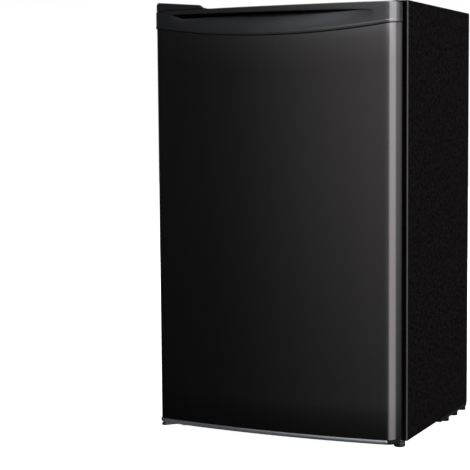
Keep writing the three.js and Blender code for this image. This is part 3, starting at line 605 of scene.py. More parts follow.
def door_trim():
    """The slim trim under the door: two bevels at its shoulder over a face that leans in."""
    low, high = TRIM_LOW.z, TRIM_HIGH.z
    profile = [(9, low), (3.6, low), (2.6, low + 0.2), (1.7, low + 0.8), (0.9, low + 2.2), (0.35, low + 3.5)]
    profile += [(0.1, low + 4.3), (0.1, low + 4.8), (0.35, high - 3), (0.8, high - 1.8)]
    profile += [(1.15, high - 1.35), (1.9, high - 0.65), (2.6, high - 0.25), (3.6, high), (9, high)]
    rings = trim_rings(lambda x, y: profile)
    front = [ring for ring in rings if TRIM_LEFT < ring[-2][0] < TRIM_RIGHT]
    first = rings.index(front[0])
    last = first + len(front)
    piece("door_trim", [backed(front, SIDE_REAR)], "trim_metal", "door_bottom_cap", sharp=40)
    # Both ends take the darker copy: painted shade at the trim's corners.
    ends = [backed(rings[: first + 1], SIDE_REAR), backed(rings[last - 1 :], SIDE_REAR)]
    piece("door_trim_shaded_ends", ends, "trim_shadow", "door_bottom_cap", sharp=40)


def rect_ring(half, low, high, radius, y):
    """Points of a round-cornered rectangle of x within +-half and z from low to high, at one y."""
    return [(u, y, v) for u, v, _, _ in rounded_path(-half, half, low, high, max(radius, 0.02))]


def door_core():
    """The foam inside the door."""
    path = door_path(SIDE_REAR - 3, 48, 8)
    columns = sweep(path, lambda x, y: [(-1.6, SKIN_LOW.z + 2), (-1.6, smile(x, y) - 6)])
    piece("door_core", [loft([list(level) for level in zip(*columns)])], "foam", "door_foam")


def door_rim():
    """The edge of the inner panel, set back between the skin and the gasket, as a near-black frame: painted
    shade for the gap there.
    """
    half, low, high = DOOR_HALF - 3, TRIM_LOW.z + 1.5, CAP_HIGH.z - 1.5
    front = SIDE_REAR - 1.5
    bounds = [(0, front), (0, DOOR_REAR - 0.5), (0.5, DOOR_REAR), (13, DOOR_REAR), (13, front)]
    rings = [rect_ring(half - inset, low + inset, high - inset, 5, y) for inset, y in bounds]
    nodes = ["door_skin", "door_top_cap", "door_bottom_cap"]
    piece("door_rim", [loft(rings, path_closed=True)], "painted_shade_black", *nodes, sharp=40)


def door_seal():
    """The bellows gasket with its magnet tube, mitred at the corners."""
    low, high = box_of("door_gasket")
    profile = [(0.4, 0), (0.2, 3), (2.2, 5.2), (0.9, 7.8), (1.2, 11.4), (2.4, 13.4), (13.8, 13.4), (15, 11.8)]
    profile += [(15, 9.2), (11.4, 7.9), (12.6, 5.4), (16.4, 3.2), (17, 0)]
    rings = []
    for inset, along in profile:
        bounds = (high.x - inset, low.z + inset, high.z - inset, 5 - inset)
        rings.append(rect_ring(*bounds, low.y + 0.1 + along))
    piece("door_seal", [loft(rings, path_closed=True)], "rubber", "door_gasket", sharp=50)


def door_inner():
    """The vacuum-formed inner panel with its raised dykes."""
    low, high = box_of("door_liner")
    half, foot, head = high.x - 2.5, low.z + 1, high.z - 1
    rear, face = low.y, high.y
    flat = rear + 2
    outer, inner = 204.0, 188.0
    dyke_low, dyke_high = 58.0, 787.0
    wide = outer - inner
    rings = [rect_ring(half, foot, head, 6, rear), rect_ring(half, foot, head, 6, flat - 0.8)]
    rings.append(rect_ring(half - 0.8, foot + 0.8, head - 0.8, 5.2, flat))
    dyke = [(-5, 19, flat), (-2, 16.5, flat + 0.8), (-0.6, 15, flat + 3), (0.4, 14, face - 8)]
    dyke += [(1.2, 13.4, face - 3.6), (3.4, 12, face - 0.9), (6, 10, face), (wide - 6, 10, face)]
    dyke += [(wide - 3.4, 10, face - 0.9), (wide - 1.2, 10, face - 3.6), (wide - 0.4, 10, face - 8)]
    dyke += [(wide + 0.6, 10, flat + 5), (wide + 2, 10, flat + 1.6), (wide + 5, 9, flat)]
    for shrink, radius, y in dyke:
        rings.append(rect_ring(outer - shrink, dyke_low + shrink, dyke_high - shrink, radius, y))
    parts = [loft(rings)]
    for node in ("bin_top", "bin_middle", "bin_bottom"):
        bin_foot = box_of(node)[0].z
        for side in (-1, 1):
            x0, x1 = sorted((side * (inner + 1), side * (inner - 5)))
            parts.append(block(x0, x1, flat + 4, flat + 60, bin_foot - 9, bin_foot - 0.5, 2))
    piece("door_inner", parts, "white_plastic", "door_liner", sharp=40)


def door_bin(node, wall):
    """A clear bin: rounded tray, low rounded front between full sides, thick rim."""
    low, high = box_of(node)
    base, full, front = low.z, high.z, high.y
    path = rounded_path(low.x, high.x, low.y, front, 11, 7)
    dense = []
    for (x, y, nx, ny), (x2, y2, _, _) in zip(path, path[1:] + path[:1]):
        steps = max(1, int(hypot(x2 - x, y2 - y) / 9))
        dense += [(x + (x2 - x) * k / steps, y + (y2 - y) * k / steps, nx, ny) for k in range(steps)]

    def profile(x, y):
        near_front = min(max((y - (front - 14)) / 10, 0), 1)
        inside = min(max((high.x - 10 - abs(x)) / 26, 0), 1)
        top = full + (base + wall - full) * near_front * inside * inside * (3 - 2 * inside)
        points = [(-10, base), (-4.5, base + 0.6), (-1.4, base + 3.2), (-0.2, base + 9), (-0.2, top - 9)]
        points += [(0, top - 8), (0, top - 1), (-0.5, top - 0.2), (-1.4, top), (-2.3, top - 0.3)]
        points += [(-2.7, top - 1.2), (-2.7, base + 10), (-4, base + 5), (-6.5, base + 3), (-12, base + 2.5)]
        return points

    piece(node + "_clear", [hoop(sweep(dense, profile))], "clear_plastic", node, sharp=45)


def bin_rail(node):
    """A chrome wire across the bin, with its ends turned down into the sides."""
    low, high = box_of(node)
    radius = (high.z - low.z) / 2
    y, z = (low.y + high.y) / 2, (low.z + high.z) / 2
    route = bent([(low.x, y - 22, z), (low.x + 1, y, z), (high.x - 1, y, z), (high.x, y - 22, z)], 9)
    piece(node + "_wire", [pipe(route, radius)], "chrome_wire", node)


def bushing(node):
    """A flanged plastic bush for a hinge pin."""
    low, high = box_of(node)
    radius, tall, bore = (high.x - low.x) / 2, high.z - low.z, 4.3
    profile = [(bore, 0.4), (bore + 0.4, 0), (radius - 0.5, 0), (radius, 0.5), (radius, tall - 0.5)]
    profile += [(radius - 0.5, tall), (bore + 0.5, tall), (bore, tall - 0.5)]
    ring = turned_on(node, profile, sides=32, hollow=True)
    piece(node + "_turned", [ring], "white_plastic", node)


# ---- Cabinet ----
FLANGE = 20.0
SHEET = 1.2


def wrapped(profile):
    """A strip that follows the wrapper's two sides and top: (distance in from its outside, y) points."""
    half, top, base = SHELL_HIGH.x, SHELL_HIGH.z, SHELL_LOW.z
    rings = []
    for inset, y in profile:
        radius = max(3.0 - inset, 0.02)
        x, z = half - inset, top - inset
        side = [(x, y, base), (x, y, (base + top) / 2)]
        side += [(x - radius * (1 - cos(a)), y, z - radius * (1 - sin(a))) for a in quarter(6)]
        rings.append(side + [(-u, y, v) for u, _, v in reversed(side)])
    return hoop(rings)


def cabinet_shell():
    """The wrapper: two embossed sides and a top, with a smooth flange rolled in at the front."""
    front, back = SHELL_LOW.y, SHELL_HIGH.y
    edge = 2.4

    def strip(name, look, *profile):
        piece(name, [wrapped(profile)], look, "cabinet_wrapper", sharp=50)

    strip("cabinet_shell", "side_steel", (0, back - 0.4), (0, back - 30), (0, 0), (0, front + 40),
          (0, front + edge), (SHEET, front + edge), (SHEET, back - 0.4), (SHEET / 2, back))
    strip("cabinet_hem", "side_steel", (SHEET, back - 2.9), (8, back - 2.9), (8, back - 1.9),
          (SHEET, back - 1.9))
    rolled = [(edge - edge * cos(a), front + edge - edge * sin(a)) for a in quarter(5)]
    strip("cabinet_edge", "frame_steel", *rolled, (edge + 0.2, front + SHEET), (SHEET, front + edge))
    # The flange face, near-black and dull: partly black enamel, partly painted shade.
    strip("cabinet_flange", "flange_shade_black", (edge, front), (FLANGE - 0.4, front), (FLANGE, front + 0.4),
          (FLANGE, front + SHEET), (edge, front + SHEET))


def room_lining():
    """The inner liner: round-cornered room with a step over the compressor and ledges for the shelves."""
    low, high = box_of("inner_liner")
    front = low.y
    half, floor_z, ceiling, back = 209.5, 53.0, 792.0, 195.0
    step_y, step_z, soft, nose = 30.0, 230.0, 14.0, 8.0

    def lip(inset, y):
        return rect_ring(high.x - inset, low.z + inset, high.z - inset, 4 - inset, y)

    def room(grow, y, base=floor_z):
        return rect_ring(half + grow, base - grow, ceiling + grow, soft + grow, y)

    rings = [lip(0, front + 2), lip(0, front + 0.6), lip(0.6, front)]
    rings += [room(grow, front + y) for grow, y in ((6, 0), (3, 0.7), (1, 2.8), (0.2, 6), (0, 10))]
    rings.append(room(0, step_y - soft))
    for a in quarter(5)[1:]:
        rings.append(room(0, step_y - soft + soft * sin(a), floor_z + soft * (1 - cos(a))))
    for a in quarter(4):
        rings.append(room(0, step_y + nose * (1 - cos(a)), step_z - nose * (1 - sin(a))))
    for a in quarter(6):
        rings.append(room(-soft * (1 - cos(a)), back - soft + soft * sin(a), step_z))
    parts = [loft(rings, ends=(-1,))]
    for node in ("glass_shelf_lower", "glass_shelf_upper"):
        for top in (box_of(node)[0].z - 1, box_of(node)[0].z + 83):
            for side in (-1, 1):
                x0, x1 = sorted((side * (half + 1), side * (half - 5)))
                parts.append(block(x0, x1, -70, back, top - 8, top, 2.4))
    piece("room_lining", parts, "white_plastic", "inner_liner", sharp=40)
    to_step = step_z - box_of("drain_tube")[0].z
    ring = [(5.5, -1), (5.5, 0.6), (6.2, 1.2), (9, 1.2), (10, 0.4), (10.4, -1)]
    piece("drain_rim", [turned_on("drain_tube", ring, to_step)], "white_plastic")
    mouth = [(0, 0), (5.4, 0.3), (5.4, 0.7), (0, 0.8)]
    piece("drain_mouth", [turned_on("drain_tube", mouth, to_step + 0.3)], "rubber")


STRIP_RIGHT = -131.0
HOOD_RIGHT = -179.0
HOOD_FRONT = -176.0
PIN = (-233.5, -186.0)


def rounded_hood(plan, foot_at, roof_at, edge=1.6):
    """A cover on a closed plan of (x, y, outward normal), with a rolled edge and a roof of varying height."""

    def profile(x, y):
        low, high = foot_at(x, y), roof_at(x, y)
        soft = min(edge, 0.45 * (high - low))
        rolled = [(-soft * (1 - cos(a)), high - soft * (1 - sin(a))) for a in quarter(4)]
        return [(-2, low), (-0.3, low), (0, low + 0.3), *rolled]

    rings = sweep(plan, profile)
    middle_x, middle_y = (sum(spot[i] for spot in plan) / len(plan) for i in (0, 1))
    for ring in rings:
        x, y, _ = ring[-1]
        for share in (0.05, 0.1, 0.16, 0.25, 0.45, 0.75):
            px, py = x + share * (middle_x - x), y + share * (middle_y - y)
            ring.append((px, py, roof_at(px, py)))
    return hoop(rings, ends=(-1,))


def top_cover():
    """The cover over the top hinge: a strip with a falling top over the door, and a box over the plate."""
    low, high = box_of("top_hinge_cover")
    top, base = high.z, low.z
    hood_top = top - 4.2
    fall, round_width, round_height = 9.5, 16, 12

    def strip_end(y):
        return STRIP_RIGHT - 0.5 * max(0.0, y + 229)

    def strip_roof(x, y):
        start = low.x + 4
        flat = top - fall * max(0.0, (x - start) / (STRIP_RIGHT - 7 - start))
        chamfer = base + 1.5 + (strip_end(y) - x) * 0.72
        near = max(0.0, 1 - (x - low.x) / round_width)
        corner = top - round_height * (1 - sqrt(max(0.0, 1 - near * near)))
        return min(flat, chamfer, corner)

    def hood_roof(x, y):
        return min(hood_top, hood_top - 1.2 - 0.1 * (x - HOOD_RIGHT) - 0.16 * max(0.0, y - high.y + 16))

    def hood_foot(x, y):
        return base if y < SHELL_LOW.y - 1 else SHELL_HIGH.z + 0.4

    out = PROUD - 1.5
    strip = [(x + nx * out, y + ny * out, nx, ny) for x, y, nx, ny in door_path(HOOD_FRONT, 240, 18)]
    strip = [spot for spot in strip if spot[0] < STRIP_RIGHT]
    left = strip[0][0] + 0.3
    strip.append((STRIP_RIGHT, strip[-1][1], 0.7, -0.7))
    strip += [(strip_end(y), y, 0.9, 0.45) for y in (-216, -203, -190, HOOD_FRONT)]
    strip += [(strip_end(HOOD_FRONT) - 12 * k, HOOD_FRONT, 0, 1) for k in range(1, 8)]
    hood = [(left, -190, -1, 0), (HOOD_RIGHT - 12, -190, 0, -1), (HOOD_RIGHT, -178, 0.9, -0.3)]
    hood += [(HOOD_RIGHT, high.y - 9, 0.9, 0.4), (HOOD_RIGHT - 9, high.y, 0.4, 0.9)]
    hood += [(left + 3, high.y, 0, 1), (left, high.y - 3, -1, 0)]
    parts = [rounded_hood(strip, lambda x, y: base, strip_roof)]
    parts.append(rounded_hood(hood, hood_foot, hood_roof, 2.2))
    piece("top_cover", parts, "cap_plastic", "top_hinge_cover", sharp=40)


def lower_bracket():
    """The lower hinge: a pressed shelf that follows the door's corner, a tab on the cabinet, and the pin."""
    low, high = box_of("lower_hinge_bracket")
    face = high.y
    outline = [(low.x, face), (low.x, -204), (low.x + 0.8, -207), (low.x + 3, -208.8), (low.x + 9, -208)]
    outline += [(-231, -201), (-227, -196), (-221, -191), (-214, -184), (-190, -160), (-181, face)]
    shelf_low, shelf_high, edge = low.z + 1.4, low.z + 6.9, 0.8
    middle_x, middle_y = (sum(spot[i] for spot in outline) / len(outline) for i in (0, 1))

    def ring(inset, z):
        points = []
        for x, y in outline:
            share = inset / hypot(x - middle_x, y - middle_y)
            points.append((x - (x - middle_x) * share, y - (y - middle_y) * share, z))
        return points

    levels = [(edge, shelf_low), (0, shelf_low + edge), (0, shelf_high - edge), (edge, shelf_high)]
    shelf = loft([ring(*level) for level in levels])
    tab = block(low.x, high.x, face - 2.5, face, shelf_low, 30, 1.0)
    tall = high.z - shelf_low
    pin = turned([(0, 0), (4, 0), (4, tall - 1), (3.2, tall), (0, tall)], (*PIN, shelf_low))
    piece("lower_bracket", [shelf, tab, pin], "frame_steel", "lower_hinge_bracket", sharp=40)


def foot(side):
    """A levelling foot: turned pad, hexagon and threaded stem."""
    pad, stem = "foot_pad_" + side, "foot_stem_" + side
    low, high = box_of(pad)
    radius, tall = (high.x - low.x) / 2, high.z
    profile = [(0, 0.8), (radius - 4, 0.8), (radius - 3.4, 0), (radius - 2, 0), (radius - 0.6, 0.8)]
    profile += [(radius, 2.6), (radius, 5), (radius - 0.5, 5.4), (radius - 0.5, 6), (radius, 6.4)]
    profile += [(radius, tall - 1.6), (radius - 0.5, tall - 0.5), (radius - 1.6, tall), (0, tall)]
    piece(f"foot_{side}_pad", [turned_on(pad, profile)], "foot_plastic", pad)
    low, high = box_of(stem)
    hexagon, nut_high, pitch, root, crest = 8.4, 3.6, 1.25, 3.25, 3.95
    nut = [(0, 0), (hexagon - 1, 0), (hexagon, 0.7), (hexagon, 2.9), (hexagon - 1, nut_high), (0, nut_high)]
    turns = int((high.z - low.z - 4) / pitch)
    thread = [(3.2, 0)]
    for i in range(turns):
        thread += [(root, pitch * (i + 0.1)), (crest, pitch * (i + 0.45)), (crest, pitch * (i + 0.6))]
        thread.append((root, pitch * (i + 0.95)))
    thread.append((2.8, pitch * (turns + 0.5)))
    parts = [turned_on(stem, nut, sides=6), turned_on(stem, thread, nut_high, sides=24)]
    piece(f"foot_{side}_screw", parts, "zinc_steel", stem)


def back_sheet():
    """The rear panel: pressed beads, and screws in dimples round its edge."""
    low, high = box_of("back_panel")
    thick, margin, bead_end, dimple = 0.8, 12, 34, 8
    beads = [-165, -82.5, 0, 82.5, 165]
    screw_columns = [-123, 0, 123]
    rows = [low.z + margin, low.z + 165, (low.z + high.z) / 2, high.z - 165, high.z - margin]
    spots = [(side * (high.x - margin), z) for side in (-1, 1) for z in rows]
    spots += [(x, z) for z in (low.z + margin, high.z - margin) for x in screw_columns]

    def height(x, z):
        fade = min(1.0, max(0.0, (min(z - low.z, high.z - z) - bead_end) / 14))
        near = min(abs(x - bead) for bead in beads)
        press = 1.5 * fade * (0.5 + 0.5 * cos(pi * min(near / 8, 1.0)))
        away = min(hypot(x - sx, z - sz) for sx, sz in spots)
        return max(press, 1.3 * min(1.0, (dimple - away) / 3))

    steps = (-8, -6.5, -5, -3, 0, 3, 5, 6.5, 8)
    columns = beads + screw_columns + [-high.x + margin, high.x - margin]
    xs = {low.x, high.x} | {column + step for column in columns for step in steps}
    zs = {low.z, high.z} | {row + step for row in rows for step in steps}
    for end in (bead_end, bead_end + 7, bead_end + 14):
        zs |= {low.z + end, high.z - end}
    rings = []
    for z in sorted(zs):
        outer = [(x, high.y - height(x, z), z) for x in sorted(xs)]
        rings.append(outer + [(x, y - thick, z) for x, y, _ in reversed(outer)])
    piece("back_sheet", [loft(rings)], "zinc_steel", "back_panel", sharp=60)
    head = [(0, 0), (3.6, 0), (3.9, 0.3), (3.5, 0.75), (1.7, 1.05), (1.5, 0.5), (0, 0.45)]
    screws = [turned(head, (x, high.y - 1.3, z), "y", 24) for x, z in spots]
    piece("back_screws", screws, "zinc_steel")


def tray(node, name, look, wall, radius, lip):
    """An open tray with sloping inner corners and a turned-out lip."""
    low, high = box_of(node)
    path = rounded_path(low.x + lip, high.x - lip, low.y + lip, high.y - lip, radius, 8)
    top, base, floor_z = high.z, low.z, low.z + wall
    profile = [(-radius * 0.5, base), (-2, base), (-0.6, base + 0.8), (-0.2, base + 2.5), (0, top - 3)]
    profile += [(0.4, top - 2.2), (lip - 0.4, top - 2), (lip, top - 1.6), (lip, top - 0.4), (lip - 0.4, top)]
    profile += [(-wall + 0.5, top), (-wall, top - 0.6), (-wall - 0.2, floor_z + 4)]
    profile += [(-wall - 1, floor_z + 1.4), (-wall - 3, floor_z), (-radius * 0.5 - 2, floor_z)]
    piece(name, [hoop(sweep(path, profile))], look, node, sharp=45)


def compressor():
    """The compressor's two-part shell, its filling stub, feet and base."""
    profile = [(0, 0), (30, 0.5), (46, 3.4), (54, 10), (57.2, 20), (58, 30), (58, 63), (58.6, 65), (61, 66)]
    profile += [(61, 71.6), (58.6, 72.4), (58, 74), (57.8, 82), (56.2, 93), (52, 103), (45, 110), (34, 115)]
    profile += [(18, 117.6), (0, 118)]
    body = turned_on("compressor_shell", profile, sides=64, stretch=1.22)
    piece("compressor", [body], "frame_steel", "compressor_shell")
    stub = pipe(bent([(-14, 122, 78), (-26, 122, 78), (-32, 118, 96), (-32, 118, 122)], 8), 3)
    piece("process_stub", [stub], "copper")
    refined("compressor_feet", "frame_steel", 0.8, 3)
    refined("compressor_base", "zinc_steel", 0.5)


def grommets():
    """The four waisted rubber mounts under the compressor's feet, each with its bolt."""
    ring = [(4, 0.4), (4.4, 0), (10, 0), (11, 1), (11, 3.6), (10.2, 4.4), (8.2, 4.8), (8.2, 6.8), (10.2, 7.2)]
    ring += [(11, 8), (11, 11), (10, 12), (4.4, 12), (4, 11.6)]
    bolt = [(0, 12), (6.4, 12), (6.4, 12.3), (5, 12.4), (5, 14.4), (0, 14.6)]
    for i in range(1, 5):
        node = f"grommet_{i}"
        piece(f"{node}_soft", [turned_on(node, ring, sides=36)], "rubber", node)
        piece(f"{node}_bolt", [turned_on(node, bolt, 2.8, sides=6)], "zinc_steel")


def relay_box():
    """The relay cover on the compressor's side, with three ribs."""
    low, high = box_of("relay_cover")
    parts = [block(low.x, high.x, low.y, high.y, low.z, high.z, 5, 5)]
    for z in (low.z + 12, low.z + 25, low.z + 38):
        parts.append(block(high.x - 1, high.x - 0.1, low.y + 8, high.y - 8, z - 1.2, z + 1.2, 0.4))
    piece("relay_box", parts, "black_plastic", "relay_cover")


def copper_lines():
    """The discharge and suction tubes and the filter drier."""
    route = [(-17, 140, 92), (-37, 140, 92), (-57, 140, 104), (-63, 140, 140), (-63, 140, 195)]
    piece("discharge_line", [pipe(bent(route, 24), 2.5)], "copper", "discharge_tube")
    route = [(-17, 166, 76), (-41, 166, 76), (-73, 172, 84), (-87, 176, 130), (-87, 176, 195)]
    piece("suction_line", [pipe(bent(route, 24), 3.5)], "copper", "suction_tube")
    drier = [(0, 0), (1.5, 0.2), (1.5, 9), (2.4, 11), (6.4, 17), (7.6, 20), (8, 23), (8, 88), (7.6, 91)]
    drier += [(6.2, 94), (3.2, 99), (2.6, 102), (2.5, 120.8), (0, 121)]
    piece("drier", [turned_on("filter_drier", drier)], "copper", "filter_drier")


def drain():
    """The pan over the compressor and the tube that leads the melt water to it."""
    tray("drain_pan", "evaporation_pan", "black_plastic", 2, 8, 1.2)
    low, high = box_of("drain_tube")
    profile = [(3.4, 0.3), (3.7, 0), (4.7, 0), (5, 0.4), (5, high.z - low.z), (3.4, high.z - low.z)]
    tube = turned_on("drain_tube", profile, sides=28, hollow=True)
    piece("drain_pipe", [tube], "white_plastic", "drain_tube")


def gland():
    """The ribbed cord gland, its plate and the stepped bottom panel."""
    profile = [(0, 0), (8.6, 0), (9, 0.4), (9, 2.6), (8.6, 3), (7, 3.2), (6.9, 5.4)]
    for k in range(4):
        rib, neck, along = 6.7 - 0.35 * k, 5.4 - 0.3 * k, 5.6 + 3 * k
        profile += [(rib, along), (rib - 0.1, along + 1.8), (neck, along + 2), (neck - 0.1, along + 2.8)]
    profile += [(4.6, 17.8), (3.4, 18), (3, 16), (0, 15.8)]
    piece("gland", [turned_on("cord_gland", profile, 0, "y", sides=32)], "rubber", "cord_gland")
    refined("gland_plate", "zinc_steel", 0.4)
    refined("bottom_panel", "zinc_steel", 0.8, 3)


def zigzag(count, low, high, near, far):
    """Points of count crossings between near and far, stepping from low to high: (step, crossing)."""
    points = []
    for k in range(count):
        step = low + (high - low) * k / (count - 1)
        points += [(step, near), (step, far)] if k % 2 == 0 else [(step, far), (step, near)]
    return points


def freezer():
    """The evaporator with raised channels, its frame, flap and drip tray."""
    low, high = box_of("evaporator_box")
    roof = 782.0
    refined("evaporator_box", "evaporator_aluminium", 0.5)
    front, rear = low.y + 16, high.y - 16
    channels = []
    for z in (low.z + 2.2, roof - 2.2):
        points = [(x, y, z) for x, y in zigzag(7, low.x + 18, high.x - 18, front, rear)]
        channels.append(pipe(bent(points, 12, 8), 2.0, 10))
    for x in (low.x + 2.2, high.x - 2.2):
        points = [(x, y, z) for z, y in zigzag(5, low.z + 18, roof - 18, front, rear)]
        channels.append(pipe(bent(points, 8, 8), 2.0, 10))
    piece("evaporator_channels", channels, "evaporator_aluminium")
    refined("chiller_frame", "white_plastic", 1.4, 3)
    refined("chiller_door", "white_plastic", 1.2, 3)
    low, high = box_of("chiller_door")
    panel = block(low.x + 14, high.x - 14, -24.1, -23.3, low.z + 12, high.z - 20, 0.35)
    piece("chiller_door_panel", [panel], "white_plastic", body="chiller_flap")
    tray("drip_tray", "melt_tray", "clear_plastic", 2.2, 10, 1.0)


def shelves():
    for level in ("upper", "lower"):
        low, high = box_of(f"glass_shelf_{level}")
        pane = block(low.x, high.x, low.y, high.y, low.z, high.z, 1.1, 3)
        piece(f"glass_{level}", [pane], "shelf_glass", f"glass_shelf_{level}")
        refined(f"shelf_trim_{level}", "white_plastic", 2.0, 4)


def digit_mesh(text, size, depth):
    """The flat outline of a number as a thin mesh, in millimetres round its own middle."""
    curve = bpy.data.curves.new("digit", "FONT")
    curve.body = text
    curve.size = size
    curve.extrude = depth / 2
    curve.align_x = "CENTER"
    curve.align_y = "CENTER"
    obj = add("digit", curve)
    mesh = bpy.data.meshes.new_from_object(obj)
    vertices = [tuple(v.co) for v in mesh.vertices]
    faces = [list(polygon.vertices) for polygon in mesh.polygons]
    bpy.data.objects.remove(obj)
    bpy.data.curves.remove(curve)
    bpy.data.meshes.remove(mesh)
    return vertices, faces


GRIP_HALF = 5.6
GRIP_REACH = 14.4


def thermostat():
    """The thermostat's housing, and its dial: a round skirt with a grip across it."""
    refined("thermostat_housing", "white_plastic", 2.2, 4)
    low, high = box_of("thermostat_knob")
    x, _, z = (low + high) / 2
    face, nose = high.y - 5, low.y
    radius = (high.x - low.x) / 2
    skirt = [(0, 0), (radius - 0.6, 0), (radius, -0.6), (radius, -3.4), (radius - 0.8, -4.6)]
    skirt += [(radius - 2, -5), (0, -5)]
    parts = [turned_on("thermostat_knob", skirt, high.y - low.y, "y", sides=56)]
    path = rounded_path(x - GRIP_HALF, x + GRIP_HALF, z - GRIP_REACH, z + GRIP_REACH, 5.4, 8)
    profile = [(0.9, face + 0.3), (0.4, face - 0.5), (0.1, face - 2), (-0.4, nose + 2), (-0.9, nose + 0.8)]
    profile += [(-1.9, nose + 0.15), (-3, nose)]
    parts.append(hoop([[(u, y, v) for u, v, y in ring] for ring in sweep(path, profile)]))
    piece("dial", parts, "white_plastic", "thermostat_knob")


def dial_marks():
    """The numbers and the line on the dial, and the arrow over it."""
    low, high = box_of("thermostat_knob")
    x, _, z = (low + high) / 2
    face, nose = high.y - 5, low.y
    tip = z + (high.x - low.x) / 2 + 1.6
    reach = 17.1
    marks = []
    for number in range(8):
        a = radians(270 * number / 7)
        vertices, faces = digit_mesh(str(number), 4.2, 0.3)
        placed = []
        for u, v, w in vertices:
            across = u * cos(a) + (v + reach) * sin(a)
            along = -u * sin(a) + (v + reach) * cos(a)
            placed.append((x + across, face - 0.1 - w, z + along))
        marks.append((placed, faces))
    marks.append(block(x - 0.6, x + 0.6, nose - 0.02, nose + 0.5, z + 4, z + GRIP_REACH - 4, 0.2))
    piece("dial_numbers", marks, "dial_ink", body="thermostat_dial")
    arrow = [[(x - 2.2, y, tip + 3.6), (x + 2.2, y, tip + 3.6), (x, y, tip)] for y in (-44.25, -43.8)]
    piece("dial_mark", [loft(arrow)], "dial_ink")


def screw(node, axis, *shapes):
    """A screw from turned shapes: each a profile, its distance from the node's low face, and its sides."""
    parts = [turned_on(node, profile, start, axis, sides=sides) for profile, start, sides in shapes]
    piece(f"{node}_turned", parts, "zinc_steel", node)


def fixings():
    """Hinge plate, screws, plug, rail and skids."""
    refined("top_hinge_plate", "zinc_steel", 0.5)
    for i in (1, 2):
        washer = [(0, 0), (5, 0), (5, 0.5), (0, 0.6)]
        head = [(0, 0), (4, 0), (4, 1.2), (3.4, 1.5), (0, 1.5)]
        stem = [(0, 0), (1.2, 0), (2.4, 2), (2.4, 17.6), (0, 17.6)]
        screw(f"top_hinge_screw_{i}", "z", (washer, 17.6, 40), (head, 18.1, 6), (stem, 0, 20))
        washer = [(0, 0), (4.6, 0), (4.6, -0.6), (0, -0.7)]
        head = [(0, 0), (3.6, 0), (3.6, -1.6), (3, -2), (0, -2)]
        stem = [(0, 0), (2.2, 0), (2.2, 14), (0.8, 16.5), (0, 16.5)]
        screw(f"lower_hinge_screw_{i}", "y", (washer, 2.6, 40), (head, 2, 6), (stem, 2.4, 20))
    low, high = box_of("hinge_hole_plug")
    tall = high.z - low.z
    dome = [(0, 0), (1.6, 0), (3, 1.4), (2.6, 3), (2.6, tall - 2), (6, tall - 1.9), (5.8, tall - 1.2)]
    dome += [(4.6, tall - 0.4), (2.4, tall - 0.05), (0, tall)]
    piece("plug", [turned_on("hinge_hole_plug", dome, sides=32)], "black_plastic", "hinge_hole_plug")
    refined("bottom_front_rail", "frame_steel", 0.8, 3)
    for side in ("left", "right"):
        refined(f"skid_{side}", "rubber", 1.2, 3)


door_panel()
door_cap()
door_trim()
door_core()
door_rim()
door_seal()
door_inner()
door_bin("bin_top", 40)
door_bin("bin_middle", 44)
door_bin("bin_bottom", 62)
bin_rail("bin_rail_middle")
bin_rail("bin_rail_bottom")
bushing("hinge_bushing_top")
bushing("hinge_bushing_bottom")
cabinet_shell()
room_lining()
top_cover()
lower_bracket()
back_sheet()
compressor()
grommets()
relay_box()
copper_lines()
drain()
gland()
freezer()
shelves()
thermostat()
dial_marks()
fixings()
for side in ("left", "right"):
    foot(side)

for node, obj in sorted(NODES.items()):
    slot = obj.data.materials[0].name.split(".")[0]
    obj.data.materials[0] = LOOKS[slot]


# ---- Studio ----


def softbox(name, place_at, target, width, height, power):
    light = bpy.data.lights.new(name, "AREA")
    light.shape = "RECTANGLE"
    light.size = width
    light.size_y = height
    light.energy = power
    obj = add(name, light)
    obj.location = place_at
    obj.rotation_euler = (Vector(target) - obj.location).to_track_quat("-Z", "Y").to_euler()
    obj.visible_camera = False
    return obj


def studio():
    """A cool light overhead, and one behind on the left that makes no reflections."""
    overhead = softbox("overhead", (0, 0.2, 2.8), (0, 0, 0.8), 2.0, 1.6, 14)
    overhead.data.color = (0.94, 0.97, 1)
    rear = softbox("rear_softbox", (-1.026, 2.819, 1.6), (0, 0, 0.45), 1.8, 2.0, 40)
    rear.visible_glossy = False


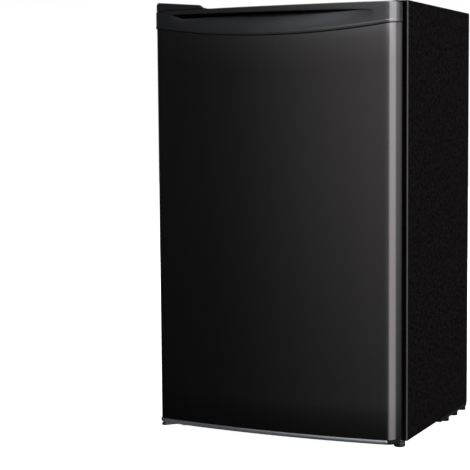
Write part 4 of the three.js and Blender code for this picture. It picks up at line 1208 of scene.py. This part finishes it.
class Surround(Nodes):
    """The world: white to the camera, and to everything else a dim room with panels of light in it."""

    def __init__(self):
        world = bpy.data.worlds.new("studio")
        bpy.context.scene.world = world
        world.use_nodes = True
        super().__init__(world.node_tree)
        self.tree.nodes.clear()
        direction = self.add("ShaderNodeTexCoord")["Generated"]
        parts = self.add("ShaderNodeSeparateXYZ", {"Vector": direction})
        turn = self.calculate("ARCTAN2", parts["X"], self.calculate("MULTIPLY", parts["Y"], -1.0))
        self.azimuth = self.calculate("DEGREES", turn)
        self.elevation = self.calculate("DEGREES", self.calculate("ARCSINE", parts["Z"]))
        self.total = (0, 0, 0)

    def calculate(self, operation, *values):
        return self.add("ShaderNodeMath", enumerate(values), operation=operation)["Value"]

    def dimmed(self, level, value, *ends):
        """The level times a soft step of the value: from, to, and where the step starts and ends."""
        return self.calculate("MULTIPLY", level, self.ramp(value, *ends, "SMOOTHSTEP"))

    def panel(self, strength, color, sides, heights, falloff=1):
        """Adds light between two azimuths and two elevations, each given with the width of its soft edge."""
        level = strength
        for value, bounds in ((self.azimuth, sides), (self.elevation, heights)):
            (start, start_edge), (end, end_edge) = bounds
            level = self.dimmed(level, value, 0, 1, start, start + start_edge)
            level = self.dimmed(level, value, 1, 0, end - end_edge, end)
        if falloff != 1:
            level = self.dimmed(level, self.elevation, falloff, 1, -16, 8)
        tint = self.add("ShaderNodeVectorMath", {0: color, "Scale": level}, operation="SCALE")[0]
        self.total = self.add("ShaderNodeVectorMath", {0: self.total, 1: tint})[0]

    def finish(self):
        seen = self.add("ShaderNodeBackground", {"Color": (1, 1, 1, 1)})[0]
        lit = self.add("ShaderNodeBackground", {"Color": self.total})[0]
        ray = self.add("ShaderNodeLightPath")["Is Camera Ray"]
        mixed = self.add("ShaderNodeMixShader", {"Fac": ray, 1: lit, 2: seen})[0]
        self.add("ShaderNodeOutputWorld", {"Surface": mixed})


def surround():
    made = Surround()
    white, warm, cool = (1, 0.98, 1), (1, 0.965, 0.975), (0.9, 0.95, 1)
    made.panel(0.008, cool, ((-360, 1), (360, 1)), ((-95, 1), (95, 1)))
    made.panel(0.012, cool, ((-110, 10), (-8, 28)), ((-12, 10), (60, 25)))
    made.panel(0.37, warm, ((-38, 57), (24, 4)), ((-40, 30), (50, 30)), 0.12)
    made.panel(1.62, warm, ((22, 24), (132, 34)), ((-50, 20), (60, 25)), 0.5)
    made.panel(0.46, white, ((110, 20), (172, 16)), ((-50, 20), (60, 25)), 0.12)
    made.panel(1.45, cool, ((-38, 60), (90, 30)), ((17, 23), (75, 20)))
    made.panel(0.25, cool, ((-178, 30), (-100, 40)), ((-20, 20), (60, 25)))
    made.panel(1.1, cool, ((-80, 30), (10, 30)), ((52, 14), (100, 1)))
    made.finish()


def floor():
    """A white floor that glows away from the part, so that only its own shadow shows."""
    half = 9.0
    mesh = bpy.data.meshes.new("floor")
    corners = [(-half, -half, 0), (half, -half, 0), (half, half, 0), (-half, half, 0)]
    mesh.from_pydata(corners, [], [[0, 1, 2, 3]])
    obj = add("floor", mesh)
    shader = Shader("floor", (0.9, 0.9, 0.9), 0.9, Emission_Color=(1, 1, 1, 1))
    place_at = shader.add("ShaderNodeTexCoord")["Object"]
    distance = shader.add("ShaderNodeVectorMath", {0: place_at}, operation="LENGTH")["Value"]
    shader.feed(shader.main, {"Emission Strength": shader.ramp(distance, 0.96, 1.0, 0.4, 1.6)})
    mesh.materials.append(shader.material)
    obj.location.z = -0.0002
    obj.visible_glossy = False


def camera():
    """A long lens to the front right of the door, a little above its middle."""
    data = bpy.data.cameras.new("camera")
    data.sensor_width = 36
    data.lens = 104.8
    obj = add("camera", data)
    yaw, pitch, roll = (radians(a) for a in (26.11, 4.88, -0.49))
    upright = Matrix.Rotation(yaw, 4, "Z") @ Matrix.Rotation(pi / 2 - pitch, 4, "X")
    place_at = Matrix.Translation((1.067, -2.546, 0.618))
    obj.matrix_world = place_at @ upright @ Matrix.Rotation(roll, 4, "Z")
    bpy.context.scene.camera = obj


studio()
surround()
floor()
camera()
bpy.context.scene.view_settings.view_transform = "Standard"
